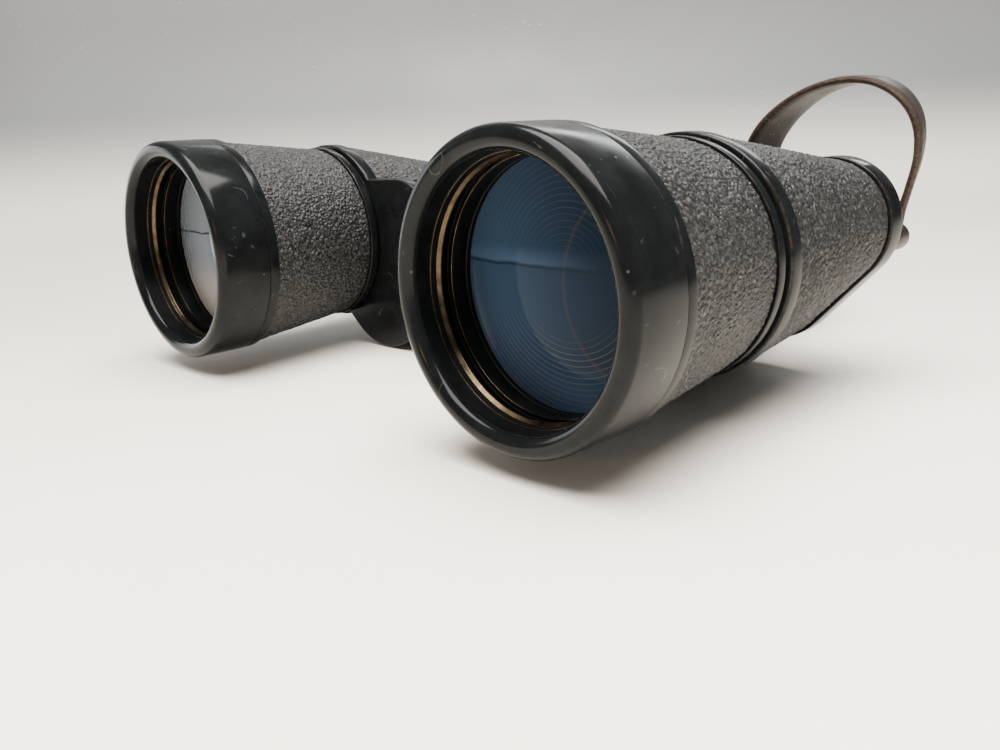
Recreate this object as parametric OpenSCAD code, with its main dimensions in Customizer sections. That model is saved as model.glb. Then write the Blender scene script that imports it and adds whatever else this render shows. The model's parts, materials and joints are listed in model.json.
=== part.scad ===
// Prism binoculars with 50 mm objectives, centre focus and a folding hinge.
// Millimetres. +Y runs from the objectives to the eyepieces, +Z is up.
// The origin is on the table under the middle of the instrument.
// Each half is drawn about its own objective axis: +X points outwards,
// y = 0 is the front of the objective ring, z = 0 is the objective axis.

/* [Objectives] */
// Distance between the two objective axes
barrel_spacing = 132; // [126:1:140]
// Outer diameter of the objective ring
ring_d = 60; // [58:0.5:64]
// Length of the objective ring, from its lip to its seam
ring_len = 14.2; // [12:0.1:18]
// Clear opening inside the lip of the objective ring
opening_d = 50.8; // [48:0.2:52]
// Rounding of the ring's lip
lip_r = 2.2; // [1:0.1:2.2]
// Depth of the lens behind the lip
lens_depth = 15.6; // [15:0.1:18]
// Edge thickness of the objective lens
lens_edge = 8.4; // [6:0.1:9]
// Sag of the lens' front surface
lens_sag = 2.6; // [1:0.1:3]
// Diameter of the objective lens
lens_d = 50.3; // [48:0.1:50.4]

/* [Objective tube] */
// Length of the covered, tapering part of the tube
taper_len = 33.5; // [28:0.5:45]
// Diameter of the tube's metal at its front end
tube_front_d = 56.8; // [56:0.1:58]
// Diameter of the tube's metal at its rear end
tube_rear_d = 49; // [48:0.1:54]
// Width of the smooth band behind the ring's seam
front_band_w = 2.8; // [2:0.1:4]
// Width of the narrow rear ring of the tube
rear_band_w = 2.3; // [2:0.1:4]
// Thickness of the pebbled covering
skin = 0.8; // [0.5:0.1:1]

/* [Prism housing] */
// Length of the prism housing between its covers
housing_len = 39; // [39:0.5:46]
// Thickness of the front cover
front_cover_t = 4; // [3.5:0.1:6]
// Diameter of the front cover round the tube
front_cover_d = 53; // [52:0.5:58]
// Depth of the rear cover
rear_cover_t = 7; // [6.5:0.1:9]
// Wall of the housing casting
wall = 1.8; // [1.6:0.1:2.4]
// Radius of the lower lobe that covers the first reflection
lobe_r = 21.3; // [20.5:0.1:22]
// Radius of the lobe round the eyepiece
eye_lobe_r = 16.3; // [15.5:0.1:17]
// Step of the covers over the covering
cover_step = 0.5; // [0.2:0.1:0.8]

/* [Optics] */
// Sideways distance from the objective axis to the eyepiece axis
eye_offset = 34; // [33:0.5:36]
// Width of each prism
prism_w = 21.5; // [20:0.5:24]
// Height of each prism, from its long face to its flat top
prism_h = 18.2; // [16:0.1:18.4]
// Thickness of the prism shelf
shelf_t = 2.5; // [2:0.1:4]

/* [Hinge] */
// Height of the hinge axis over the objective axes
hinge_h = 14.5; // [13:0.5:16]
// Diameter of the hollow hinge axle
axle_d = 12; // [11:0.5:13]
// Radius of the hinge knuckles
knuckle_r = 9; // [8.5:0.1:9.5]
// Length of each hinge knuckle
knuckle_len = 7; // [6:0.5:8]
// Radius of the tapped hole for a tripod screw
tripod_r = 3.175; // [3.175]

/* [Focus] */
// Diameter of the focus wheel
wheel_d = 23; // [22:0.5:24]
// Length of the focus wheel
wheel_len = 13; // [12:0.5:16]
// Number of ribs round the focus wheel
wheel_ribs = 36; // [24:2:48]
// Diameter of the focus screw
focus_screw_d = 6; // [5:0.5:6.5]
// Thickness of each bridge arm
arm_t = 4; // [3:0.5:5]

/* [Eyepieces] */
// Diameter of the sliding eyepiece barrel
barrel_d = 24; // [23:0.5:24.5]
// Outer diameter of the guide tube that the barrel slides in
guide_d = 28; // [27:0.5:30]
// Length of the guide tube behind the rear cover
guide_len = 12; // [10:0.5:12]
// Free travel of the eyepiece barrel each way
focus_travel = 5; // [3:0.5:5]
// Outer diameter of the ocular housing
ocular_d = 29; // [28:0.5:30]
// Length of the ocular housing
ocular_len = 18; // [16:0.5:22]
// Outer diameter of the eyecup
eyecup_d = 32; // [31:0.5:33]
// Length of the eyecup
eyecup_len = 20; // [16:0.5:24]
// Opening of the eyecup
eyecup_open_d = 21; // [18:0.5:22]

/* [Strap] */
// Width of the neck strap
strap_w = 10; // [8:0.5:10]
// Thickness of the neck strap
strap_t = 1.8; // [1.2:0.1:2]
// Radius of the wire of each strap lug
lug_wire_r = 1.4; // [1.2:0.1:1.6]
// Outer radius of the rolled-up strap
roll_r = 30; // [30]

/* [Hidden] */
SIDES = ["R", "L"];
SIDE_NODES = [
    "objective_ring", "lens_retainer", "objective_lens", "lens_cell",
    "objective_tube", "tube_covering", "front_cover", "prism_housing",
    "hinge_arms", "housing_covering", "prism_shelf", "rear_prism", "front_prism",
    "prism_straps", "rear_cover", "cover_screws", "eyepiece_guide",
    "eyepiece_barrel", "field_lens", "eye_lens", "eyecup",
    "bridge_arm", "strap_lug", "strap_loop"
];
SHARED_NODES = [
    "hinge_axle", "hinge_sleeve", "tripod_bush", "focus_wheel", "focus_screw",
    "bridge_nut", "dioptre_ring", "strap_near", "strap_roll", "strap_far", "strap_fall"
];

FINE = 96;
MEDIUM = 48;
fit = 0.05;      // radial clearance of a running or screwed fit
gap = 0.3;       // clearance between pieces of different bodies
seat = 0.02;     // clearance of pieces that lie against each other in one body

// Stations along the axis, measured from the front of the ring.
ridge_y = 5.8;
ridge_t = 2.2;
spigot_y = ridge_y + ridge_t;
band_end = ring_len + front_band_w;
taper_end = band_end + taper_len;
rear_band_end = taper_end + rear_band_w;
groove_w = 1.2;
front_cover_y = rear_band_end + groove_w;
housing_y = front_cover_y + front_cover_t;
rear_cover_y = housing_y + housing_len;
rear_y = rear_cover_y + rear_cover_t;
guide_end = rear_y + guide_len;
arm_y = guide_end + focus_travel + 1;
ocular_y = arm_y + arm_t;
ocular_end = ocular_y + ocular_len;
eyecup_end = ocular_end + eyecup_len;
overall_len = eyecup_end;

// Places across the axis.
lobe_x = -24;
lobe_z = -13;
axis_h = lobe_r - lobe_z;
hinge_x = -barrel_spacing / 2;
eye_x = -eye_offset;
turn_x = -eye_offset / 2;
turn_z = -eye_offset / 2;
prism_len = 2 * norm([turn_x, turn_z]);
prism_trim = 2.2;
corner_x = 11.4;
corner_z = 3.5;
corner_r = 15.4;
flank_x = -2.6;
flank_z = -10.1;
flank_r = prism_w / 2 + 5.25;

front_wall = 1.4;
shelf_y = housing_y + front_wall + 0.9 + prism_h;
cover_wall = 2.4;
cover_bevel = 0.6;

// Radii of the objective parts.
ring_r = ring_d / 2;
open_r = opening_d / 2;
ridge_r = open_r - 1;
thread_r = open_r + 1.7;
cell_r = open_r + 0.8;
lens_r = lens_d / 2;
cell_y = lens_depth - 5.6;
cell_end = lens_depth + lens_edge + 1.5;
spigot_r = 22;
rear_band_step = 0.5;
rear_band_r = tube_rear_d / 2 + skin + rear_band_step;
light_r = 20;

// Eyepiece parts.
barrel_r = barrel_d / 2;
barrel_wall = 1.3;
barrel_front = rear_y - 4;
guide_r = guide_d / 2;
ocular_r = ocular_d / 2;
eyecup_r = eyecup_d / 2;

// Hinge and focus parts.
axle_r = axle_d / 2;
screw_r = focus_screw_d / 2;
knuckle_y = housing_y;
knuckle_pitch = knuckle_len + gap;
axle_front = knuckle_y - 0.7;
wheel_y = rear_cover_y + 4;
axle_end = wheel_y + wheel_len - 3;
wheel_r = wheel_d / 2;
screw_front = rear_cover_y - 12;
boss_r = 7.5;
left_boss_y = arm_y + arm_t + gap;
nut_y = left_boss_y + arm_t + gap;

bush_front = axle_front - 3.4;
bush_end = axle_front + 8.5;
bush_r = tripod_r + 1.3;
arm_w = 9;
arm_root_w = 13.5;
window_margin = 1;

// Small parts of the covers, prisms and eyepieces.
cover_screw_places = [[14, 8], [-6, -18], [-19, 11]];
screw_shank_r = 1.1;
strap_spring_w = 6;
dioptre_ribs = 30;
dioptre_y = ocular_end - 6.7;
eye_lens_r = 9.3;
eye_lens_y = ocular_end + 3.5;

// Strap lug: a staple that stands out behind the rear cover.
lug_leg_x = 20.5;
lug_root_x = 12.5;
lug_z = -1;
lug_len = strap_w + 3.2;
loop_y = rear_y + 1.2;
loop_in = lug_wire_r + 0.1;
loop_out = loop_in + strap_t;

// The strap's route in the part's own frame: x, y, z, the heading of the
// strap's width in the plan view, and how far the strap is turned on edge.
strap_near_route = [
    [89, 28, 36.4, 112, 0], [89.6, 28, 40.6, 112, 0], [91, 28, 46, 111, 0],
    [92.4, 28, 52, 109, 0], [92.4, 28, 58, 105, 0], [90.6, 28, 63, 100, 0],
    [87, 28, 67, 95, 0], [82, 28, 69.6, 90, 0], [76.5, 28, 70.3, 85, 0],
    [71, 28, 69.5, 80, 0], [66, 28, 67.6, 74, 0], [61.5, 28, 64.8, 69, 0],
    [57.5, 28, 61, 64, 0], [54.5, 28, 56.5, 60, 0], [53, 28.5, 51.5, 58, 0],
    [52.4, 29, 46, 56, 0], [52.2, 29.5, 41, 56, 0], [52, 30, 36, 58, 0],
    [51.5, 31, 31, 60, 0], [50.6, 32, 26, 62, 0], [49.3, 33.5, 21, 66, 0],
    [47.4, 35, 16, 70, 0], [44.8, 37, 11.4, 74, 0], [41.2, 39, 7.2, 78, 0],
    [36.6, 41, 3.8, 82, 0], [31, 42.5, 1.8, 86, 0], [25, 43.4, 1.1, 88, 0],
    [18, 44, 1, 90, 0], [10, 44.2, 1, 90, 0], [2, 44.2, 1, 90, 0],
    [-6, 44, 1, 90, 0], [-14, 43.6, 1, 90, 0], [-22, 43, 1, 90, 0],
    [-30, 42.2, 1, 92, 0], [-37, 41.4, 1.6, 94, 15], [-42, 40.6, 3.4, 95, 42],
    [-47, 39.8, 4.8, 96, 70], [-52, 39.2, 5.1, 94, 90], [-57, 38.8, 5.1, 92, 90]
];
strap_fall_route = [
    [-89, 28, 30, 90, 0], [-90, 28, 25, 88, 0], [-91.4, 28.4, 20, 80, 0],
    [-93, 29.2, 15.4, 66, 0], [-94.6, 30.6, 11, 46, 0], [-95.2, 32.6, 7.2, 24, 0],
    [-95.7, 35.4, 4.6, 8, 0], [-96, 37.2, 3.7, 2, 0]
];
strap_far_route = [
    [-96.1, 38.4, 3.2, 0, 0], [-96.6, 42, 2.6, 0, 0], [-97.4, 46, 2.6, 0, 20],
    [-98.2, 50, 4, 0, 50], [-98.8, 54, 5, 0, 80], [-99.1, 58, 5.1, 0, 90],
    [-99.1, 62, 5.1, 0, 90]
];
roll_at = [-68, 69];
roll_in = 6;

// ---------- helpers ----------

// Points of an arc about a centre.
function arc_points(cx, cy, r, a0, a1, n) =
    [for (i = [0 : n]) [cx + r * cos(a0 + (a1 - a0) * i / n), cy + r * sin(a0 + (a1 - a0) * i / n)]];

// Unit vector of v.
function unit(v) = v / norm(v);

// Direction of the strap's width at one route point.
function width_dir(p) =
    [cos(p[3]) * cos(p[4]), sin(p[3]) * cos(p[4]), sin(p[4])];

// Moves one half from its own axes to the part's frame; the left half is the mirror image.
module on_side(side) {
    mirror([side == "L" ? 1 : 0, 0, 0])
        translate([barrel_spacing / 2, -overall_len / 2, axis_h])
            children();
}

// Moves what sits on the hinge axis to the part's frame.
module on_hinge() {
    translate([0, -overall_len / 2, axis_h + hinge_h]) rotate([-90, 0, 0]) children();
}

// Turned piece about an axis along Y through (x, z), from a profile of [radius, y].
module turned(points, x = 0, z = 0, fn = FINE) {
    translate([x, 0, z]) rotate([-90, 0, 0]) rotate_extrude($fn = fn) polygon(points);
}

// Round bar along Y.
module bar_y(r, y0, y1, x = 0, z = 0, fn = FINE) {
    translate([x, y0, z]) rotate([-90, 0, 0]) cylinder(r = r, h = y1 - y0, $fn = fn);
}

// Slab along Y of an outline drawn in [x, z].
module slab(y0, y1) {
    translate([0, y1, 0]) rotate([90, 0, 0]) linear_extrude(y1 - y0) children();
}

// Outline of the whole housing at its rear end, drawn in by d; its lobes by lobe_in more.
module outer_outline(d, lobe_in = 0) {
    hull() {
        translate([corner_x, corner_z]) circle(corner_r - d, $fn = MEDIUM);
        translate([flank_x, flank_z]) circle(flank_r - d, $fn = MEDIUM);
        translate([lobe_x, lobe_z]) circle(lobe_r - d - lobe_in, $fn = MEDIUM);
        translate([eye_x, 0]) circle(eye_lobe_r - d - lobe_in, $fn = MEDIUM);
    }
}

// Outline of the lobes over the reflections, drawn in by d.
module inner_outline(d) {
    hull() {
        circle(flank_r - d, $fn = MEDIUM);
        translate([lobe_x, lobe_z]) circle(lobe_r - d, $fn = MEDIUM);
        translate([eye_x, 0]) circle(eye_lobe_r - d, $fn = MEDIUM);
    }
}

// Body of the housing drawn in by d, from y0 to y1.
module housing_form(d, y0, y1) {
    hull() {
        bar_y(front_cover_d / 2 - cover_step - d, y0, y0 + 1, fn = MEDIUM);
        slab(y1 - 1, y1) outer_outline(cover_step + d, 1);
    }
    slab(y0, y1) inner_outline(cover_step + d);
}

// ---------- objective ----------

module objective_ring(side) {
    lip_out = arc_points(ring_r - lip_r, lip_r, lip_r, 0, -90, 8);
    lip_in = arc_points(open_r + lip_r, lip_r, lip_r, -90, -180, 8);
    color([0.02, 0.02, 0.022])
    on_side(side) turned(concat(
        lip_out, lip_in,
        [[open_r, ridge_y], [ridge_r, ridge_y], [ridge_r, spigot_y],
         [thread_r + fit, spigot_y], [thread_r + fit, ring_len],
         [ring_r, ring_len]]
    ));
}

module lens_retainer(side) {
    color([0.45, 0.33, 0.18])
    on_side(side) turned([
        [lens_r - 0.7, cell_y + 0.4], [lens_r - seat, cell_y + 0.4],
        [lens_r - seat, lens_depth], [lens_r - 0.7, lens_depth]
    ]);
}

module objective_lens(side) {
    front = [for (i = [0 : 12]) [(lens_r - 0.7) * i / 12, lens_depth - lens_sag * (1 - pow(i / 12, 2))]];
    color([0.1, 0.2, 0.35, 0.6])
    on_side(side) turned(concat(
        front,
        [[lens_r - seat, lens_depth + seat], [lens_r - seat, lens_depth + lens_edge - seat],
         [0, lens_depth + lens_edge - seat]]
    ));
}

module lens_cell(side) {
    color([0.05, 0.05, 0.05])
    on_side(side) turned([
        [lens_r, cell_y], [cell_r - seat, cell_y], [cell_r - seat, cell_end],
        [lens_r - 1, cell_end], [lens_r - 1, lens_depth + lens_edge],
        [lens_r, lens_depth + lens_edge]
    ]);
}

module objective_tube(side) {
    color([0.03, 0.03, 0.032])
    on_side(side) turned([
        [cell_r, spigot_y + seat], [thread_r, spigot_y + seat], [thread_r, ring_len + seat],
        [ring_r - 0.1, ring_len + seat], [ring_r - 0.1, band_end], [tube_front_d / 2, band_end],
        [tube_rear_d / 2, taper_end], [rear_band_r, taper_end],
        [rear_band_r, rear_band_end], [rear_band_r - 1, rear_band_end],
        [rear_band_r - 1, front_cover_y - seat], [spigot_r, front_cover_y - seat],
        [spigot_r, housing_y + 1.2], [light_r, housing_y + 1.2],
        [light_r, rear_band_end], [lens_r - 1, cell_end + seat], [cell_r, cell_end + seat]
    ]);
}

module tube_covering(side) {
    color([0.1, 0.1, 0.1])
    on_side(side) turned([
        [tube_front_d / 2 + seat, band_end + seat], [tube_front_d / 2 + skin, band_end + seat],
        [tube_rear_d / 2 + skin, taper_end - seat], [tube_rear_d / 2 + seat, taper_end - seat]
    ]);
}

// ---------- prism housing ----------

module front_cover(side) {
    color([0.03, 0.03, 0.035])
    on_side(side) difference() {
        union() {
            turned([
                [0, front_cover_y], [front_cover_d / 2 - cover_bevel, front_cover_y],
                [front_cover_d / 2, front_cover_y + cover_bevel],
                [front_cover_d / 2, housing_y - seat], [0, housing_y - seat]
            ]);
            slab(front_cover_y, housing_y - seat) inner_outline(0);
        }
        bar_y(spigot_r + fit, front_cover_y - 1, housing_y + 1);
    }
}

module prism_housing(side) {
    inset = skin + wall / 2;
    color([0.04, 0.04, 0.04])
    on_side(side) {
        difference() {
            housing_form(skin, housing_y, rear_cover_y - seat);
            housing_form(skin + wall, housing_y - 1, rear_cover_y + 1);
        }
        difference() {
            slab(housing_y + seat, housing_y + front_wall) union() {
                circle(front_cover_d / 2 - cover_step - inset, $fn = MEDIUM);
                inner_outline(cover_step + inset);
            }
            bar_y(spigot_r + fit, housing_y - 1, housing_y + front_wall + 1);
        }
    }
}

// Bar from the hinge axis towards the eyepiece axis, from d0 to d1, drawn in [x, z].
module bar_outline(d0, d1, w) {
    translate([hinge_x, hinge_h]) rotate(-atan2(hinge_h, eye_x - hinge_x))
        translate([d0, -w / 2]) square([d1 - d0, w]);
}

// Pair of arms of one half; the two halves' knuckles stand one behind the other.
module hinge_arms(side) {
    first = side == "R" ? 0 : 1;
    bore_fit = side == "R" ? seat : fit;
    reach = norm([hinge_x - eye_x, hinge_h]);
    eye_side_r = eye_lobe_r - cover_step - skin + seat;
    color([0.04, 0.04, 0.04])
    on_side(side) for (i = [first, first + 3]) {
        y0 = knuckle_y + i * knuckle_pitch;
        slab(y0, y0 + knuckle_len) difference() {
            union() {
                translate([hinge_x, hinge_h]) circle(knuckle_r, $fn = FINE);
                bar_outline(0, reach - eye_side_r + 3, arm_root_w);
            }
            translate([hinge_x, hinge_h]) circle(axle_r + bore_fit, $fn = FINE);
            translate([eye_x, 0]) circle(eye_side_r, $fn = FINE);
        }
    }
}

module housing_covering(side) {
    y0 = housing_y + seat;
    y1 = rear_cover_y - 2 * seat;
    arm_run = eye_x - hinge_x;
    arm_slope = norm([arm_run, hinge_h]);
    arm_low = hinge_h * eye_lobe_r / arm_slope - arm_root_w / 2 * arm_slope / arm_run;
    open_low = arm_low - window_margin;
    color([0.1, 0.1, 0.1])
    on_side(side) difference() {
        housing_form(0, y0, y1);
        housing_form(skin, housing_y, rear_cover_y - seat);
        translate([eye_x - 2 * arm_run, y0 - 1, open_low])
            cube([2 * arm_run, y1 - y0 + 2, hinge_h + 2 * knuckle_r - open_low]);
    }
}

module rear_cover(side) {
    color([0.03, 0.03, 0.035])
    on_side(side) difference() {
        slab(rear_cover_y, rear_y) outer_outline(0);
        slab(rear_cover_y - 1, rear_y - cover_wall) outer_outline(wall);
        bar_y(guide_r - 1 + fit, rear_cover_y, rear_y + 1, eye_x);
        for (p = cover_screw_places) {
            bar_y(screw_shank_r + fit, rear_cover_y, rear_y + 1, p[0], p[1]);
        }
    }
}

module cover_screws(side) {
    color([0.2, 0.2, 0.2])
    on_side(side) for (p = cover_screw_places) {
        bar_y(screw_shank_r, rear_y - 4, rear_y + 0.5, p[0], p[1]);
        difference() {
            bar_y(1.9, rear_y + seat, rear_y + 0.9, p[0], p[1]);
            translate([p[0] - 3, rear_y + 0.5, p[1] - 0.25]) cube([6, 1, 0.5]);
        }
    }
}

// ---------- prisms ----------

module prism_shelf(side) {
    color([0.35, 0.35, 0.36])
    on_side(side) difference() {
        intersection() {
            housing_form(skin + wall + fit, housing_y - 1, rear_cover_y + 1);
            translate([-100, shelf_y, -100]) cube([200, shelf_t, 200]);
        }
        bar_y(prism_w / 2 - 1, shelf_y - 1, shelf_y + shelf_t + 1);
        bar_y(prism_w / 2 - 1, shelf_y - 1, shelf_y + shelf_t + 1, turn_x, turn_z);
        bar_y(prism_w / 2 - 1, shelf_y - 1, shelf_y + shelf_t + 1, eye_x);
    }
}

// Roof-shaped glass block on its long face, with rounded, ground ends and a flat top.
module prism() {
    half = prism_len / 2;
    top = half - prism_h;
    end_x = half - prism_w / 2;
    intersection() {
        linear_extrude(prism_w, center = true)
            polygon([
                [prism_trim - half, 0], [half - prism_trim, 0], [half - prism_trim, prism_trim],
                [top, prism_h], [-top, prism_h], [prism_trim - half, prism_trim]
            ]);
        union() {
            bar_y(prism_w / 2, -1, prism_h + 1, end_x);
            bar_y(prism_w / 2, -1, prism_h + 1, -end_x);
            translate([-end_x, -1, -prism_w / 2]) cube([2 * end_x, prism_h + 2, prism_w]);
        }
    }
}

// Places the rear prism's frame: from the objective axis to the turn.
module at_rear_prism() {
    translate([turn_x / 2, shelf_y + shelf_t + seat, turn_z / 2]) rotate([0, -45, 0]) children();
}

// Places the front prism's frame: from the turn to the eyepiece axis.
module at_front_prism() {
    translate([(turn_x + eye_x) / 2, shelf_y - seat, turn_z / 2])
        rotate([0, 45, 0]) mirror([0, 1, 0]) children();
}

module rear_prism(side) {
    color([0.7, 0.8, 0.85, 0.5])
    on_side(side) at_rear_prism() prism();
}

module front_prism(side) {
    color([0.7, 0.8, 0.85, 0.5])
    on_side(side) at_front_prism() prism();
}

// Spring strap bent over a prism, with a foot on each side.
module prism_strap() {
    t = 0.5;
    w = prism_w / 2 + fit;
    top = prism_h + fit;
    rotate([0, 90, 0]) linear_extrude(strap_spring_w, center = true)
        polygon([
            [-w - 3, 0], [-w, 0], [-w, top], [w, top], [w, 0], [w + 3, 0],
            [w + 3, t], [w + t, t], [w + t, top + t], [-w - t, top + t], [-w - t, t], [-w - 3, t]
        ]);
}

module prism_straps(side) {
    color([0.6, 0.5, 0.3])
    on_side(side) {
        at_rear_prism() prism_strap();
        at_front_prism() prism_strap();
    }
}

// ---------- eyepieces ----------

module eyepiece_guide(side) {
    color([0.03, 0.03, 0.03])
    on_side(side) turned([
        [barrel_r + fit, rear_y - cover_wall - 0.5], [guide_r - 1, rear_y - cover_wall - 0.5],
        [guide_r - 1, rear_y + seat], [eye_lobe_r - 0.4, rear_y + seat],
        [eye_lobe_r - 0.4, rear_y + 1.5], [guide_r, rear_y + 1.5],
        [guide_r, guide_end], [barrel_r + fit, guide_end]
    ], eye_x);
}

module eyepiece_barrel(side) {
    neck_r = side == "R" ? ocular_r - 1.5 : ocular_r;
    bore_r = barrel_r - barrel_wall;
    color([0.12, 0.12, 0.12])
    on_side(side) turned([
        [bore_r, barrel_front], [barrel_r, barrel_front], [barrel_r, ocular_y],
        [ocular_r, ocular_y], [ocular_r, dioptre_y - gap], [neck_r, dioptre_y - gap],
        [neck_r, ocular_end], [bore_r, ocular_end]
    ], eye_x);
}

module field_lens(side) {
    r = barrel_r - barrel_wall - seat;
    front = [for (i = [0 : 8]) [r * i / 8, barrel_front + 4 + 1.6 * pow(i / 8, 2)]];
    color([0.6, 0.75, 0.8, 0.5])
    on_side(side) turned(concat(front, [[r, barrel_front + 8], [0, barrel_front + 8]]), eye_x);
}

module eyecup(side) {
    open = eyecup_open_d / 2;
    y0 = ocular_end + 1.4;
    cell = eye_lens_r + fit;
    spigot = barrel_r - barrel_wall - fit;
    color([0.05, 0.05, 0.05])
    on_side(side) turned(concat(
        [[cell - 1, y0 - 9], [spigot, y0 - 9], [spigot, y0], [ocular_r + 0.5, y0],
         [ocular_r + 0.6, y0 + 5], [eyecup_r, y0 + 10]],
        arc_points(eyecup_r - 1.4, eyecup_end - 1.4, 1.4, 0, 90, 4),
        arc_points(open + 1.4, eyecup_end - 1.4, 1.4, 90, 180, 4),
        [[open, eye_lens_y + 5.5], [cell, eye_lens_y + 5.5], [cell, eye_lens_y], [cell - 1, eye_lens_y]]
    ), eye_x);
}

module eye_lens(side) {
    rear = [for (i = [8 : -1 : 0]) [eye_lens_r * i / 8, eye_lens_y + 5.3 - 1.5 * pow(i / 8, 2)]];
    color([0.5, 0.6, 0.75, 0.5])
    on_side(side) turned(concat(
        [[0, eye_lens_y + seat], [eye_lens_r, eye_lens_y + seat]],
        rear
    ), eye_x);
}

module dioptre_ring() {
    r = ocular_r + 0.7;
    color([0.08, 0.08, 0.08])
    on_side("R") difference() {
        bar_y(r, dioptre_y, ocular_end, eye_x);
        bar_y(ocular_r - 1.5 + fit, dioptre_y - 1, ocular_end + 1, eye_x);
        for (i = [1 : dioptre_ribs]) {
            a = 360 * i / dioptre_ribs;
            bar_y(0.5, dioptre_y + 1, ocular_end - 1, eye_x + r * cos(a), r * sin(a), 16);
        }
    }
}

// ---------- hinge ----------

module hinge_axle() {
    color([0.55, 0.55, 0.57])
    on_hinge() difference() {
        translate([0, 0, axle_front]) cylinder(r = axle_r, h = axle_end - axle_front, $fn = FINE);
        translate([0, 0, axle_front - 1]) cylinder(r = screw_r + 0.6, h = overall_len, $fn = FINE);
        translate([0, 0, axle_front - 1]) cylinder(r = bush_r + fit, h = bush_end + 1 + gap - axle_front, $fn = FINE);
    }
}

module hinge_sleeve() {
    y0 = knuckle_y + 2 * knuckle_pitch;
    color([0.03, 0.03, 0.03])
    on_hinge() difference() {
        translate([0, 0, y0]) cylinder(r = knuckle_r, h = knuckle_len, $fn = FINE);
        translate([0, 0, y0 - 1]) cylinder(r = axle_r + fit, h = knuckle_len + 2, $fn = FINE);
    }
}

module tripod_bush() {
    color([0.1, 0.1, 0.1])
    on_hinge() difference() {
        union() {
            translate([0, 0, bush_front]) cylinder(r = knuckle_r, h = axle_front - seat - bush_front, $fn = FINE);
            translate([0, 0, bush_front]) cylinder(r = bush_r, h = bush_end - bush_front, $fn = FINE);
        }
        translate([0, 0, bush_front - 1]) cylinder(r = tripod_r, h = overall_len, $fn = FINE);
    }
}

// ---------- focus ----------

module focus_wheel() {
    color([0.05, 0.05, 0.05])
    on_hinge() difference() {
        translate([0, 0, wheel_y]) cylinder(r = wheel_r, h = wheel_len, $fn = FINE);
        translate([0, 0, wheel_y - 1]) cylinder(r = axle_r + fit, h = axle_end + gap - wheel_y + 1, $fn = FINE);
        translate([0, 0, wheel_y]) cylinder(r = screw_r + fit, h = wheel_len + 1, $fn = FINE);
        for (i = [1 : wheel_ribs]) {
            rotate(360 * i / wheel_ribs)
                translate([wheel_r + 0.1, 0, wheel_y + 1.5]) cylinder(r = 0.6, h = wheel_len - 3, $fn = 16);
        }
    }
}

module focus_screw() {
    color([0.6, 0.6, 0.62])
    on_hinge() translate([0, 0, screw_front]) cylinder(r = screw_r, h = nut_y + 3 - screw_front, $fn = FINE);
}

// The left arm's boss stands behind the right one's, so its bar steps back.
module bridge_arm(side) {
    reach = norm([eye_x - hinge_x, hinge_h]);
    inner = side == "R" ? 0 : boss_r + 2;
    bore_fit = side == "R" ? seat : fit;
    bar_end = reach - barrel_r - 1.5;
    color([0.05, 0.05, 0.05])
    on_side(side) {
        slab(arm_y, arm_y + arm_t - seat) difference() {
            union() {
                translate([eye_x, 0]) circle(barrel_r + 3, $fn = FINE);
                bar_outline(inner, bar_end, arm_w);
                if (side == "R") translate([hinge_x, hinge_h]) circle(boss_r, $fn = FINE);
            }
            translate([eye_x, 0]) circle(barrel_r + seat, $fn = FINE);
            if (side == "R") translate([hinge_x, hinge_h]) circle(screw_r + bore_fit, $fn = FINE);
        }
        if (side == "L") {
            slab(left_boss_y, left_boss_y + arm_t) difference() {
                union() {
                    translate([hinge_x, hinge_h]) circle(boss_r, $fn = FINE);
                    bar_outline(0, reach - ocular_r - 2, arm_w);
                }
                translate([hinge_x, hinge_h]) circle(screw_r + bore_fit, $fn = FINE);
            }
            slab(arm_y + arm_t / 2, left_boss_y + arm_t / 2)
                bar_outline(inner + 0.5, reach - ocular_r - 2.5, arm_w - 1);
        }
    }
}

module bridge_nut() {
    color([0.5, 0.5, 0.52])
    on_hinge() difference() {
        translate([0, 0, nut_y]) cylinder(r = boss_r - 1.5, h = 4, $fn = FINE);
        translate([0, 0, nut_y - 1]) cylinder(r = screw_r + seat, h = 4 + seat, $fn = FINE);
    }
}

// ---------- strap ----------

module strap_lug(side) {
    cross_y = rear_y + lug_len;
    color([0.5, 0.5, 0.5])
    on_side(side) {
        bar_y(lug_wire_r, rear_y + seat, cross_y, lug_leg_x, lug_z, MEDIUM);
        bar_y(lug_wire_r, rear_y + seat, cross_y, lug_root_x, lug_z, MEDIUM);
        translate([lug_root_x, cross_y, lug_z]) rotate([0, 90, 0])
            cylinder(r = lug_wire_r, h = lug_leg_x - lug_root_x, $fn = MEDIUM);
        translate([lug_leg_x, cross_y, lug_z]) sphere(lug_wire_r, $fn = MEDIUM);
        translate([lug_root_x, cross_y, lug_z]) sphere(lug_wire_r, $fn = MEDIUM);
    }
}

module strap_loop(side) {
    color([0.12, 0.08, 0.06])
    on_side(side) turned([
        [loop_in, loop_y], [loop_out, loop_y],
        [loop_out, loop_y + strap_w], [loop_in, loop_y + strap_w]
    ], lug_leg_x, lug_z, MEDIUM);
}

// Corners of the strap's flat section: across its width and through its thickness.
function strap_section() =
    let (w = strap_w / 2, t = strap_t / 2, e = strap_t / 4)
    [[w, -e], [w, e], [w - e, t], [e - w, t], [-w, e], [-w, -e], [e - w, -t], [w - e, -t]];

// Direction of a route at point i.
function route_dir(route, i) =
    let (a = route[max(i - 1, 0)], b = route[min(i + 1, len(route) - 1)])
    unit([b[0] - a[0], b[1] - a[1], b[2] - a[2]]);

// Strap's width square to its route at point i.
function route_width(route, i) =
    let (d = route_dir(route, i), w = width_dir(route[i]))
    unit(w - d * (w * d));

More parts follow.
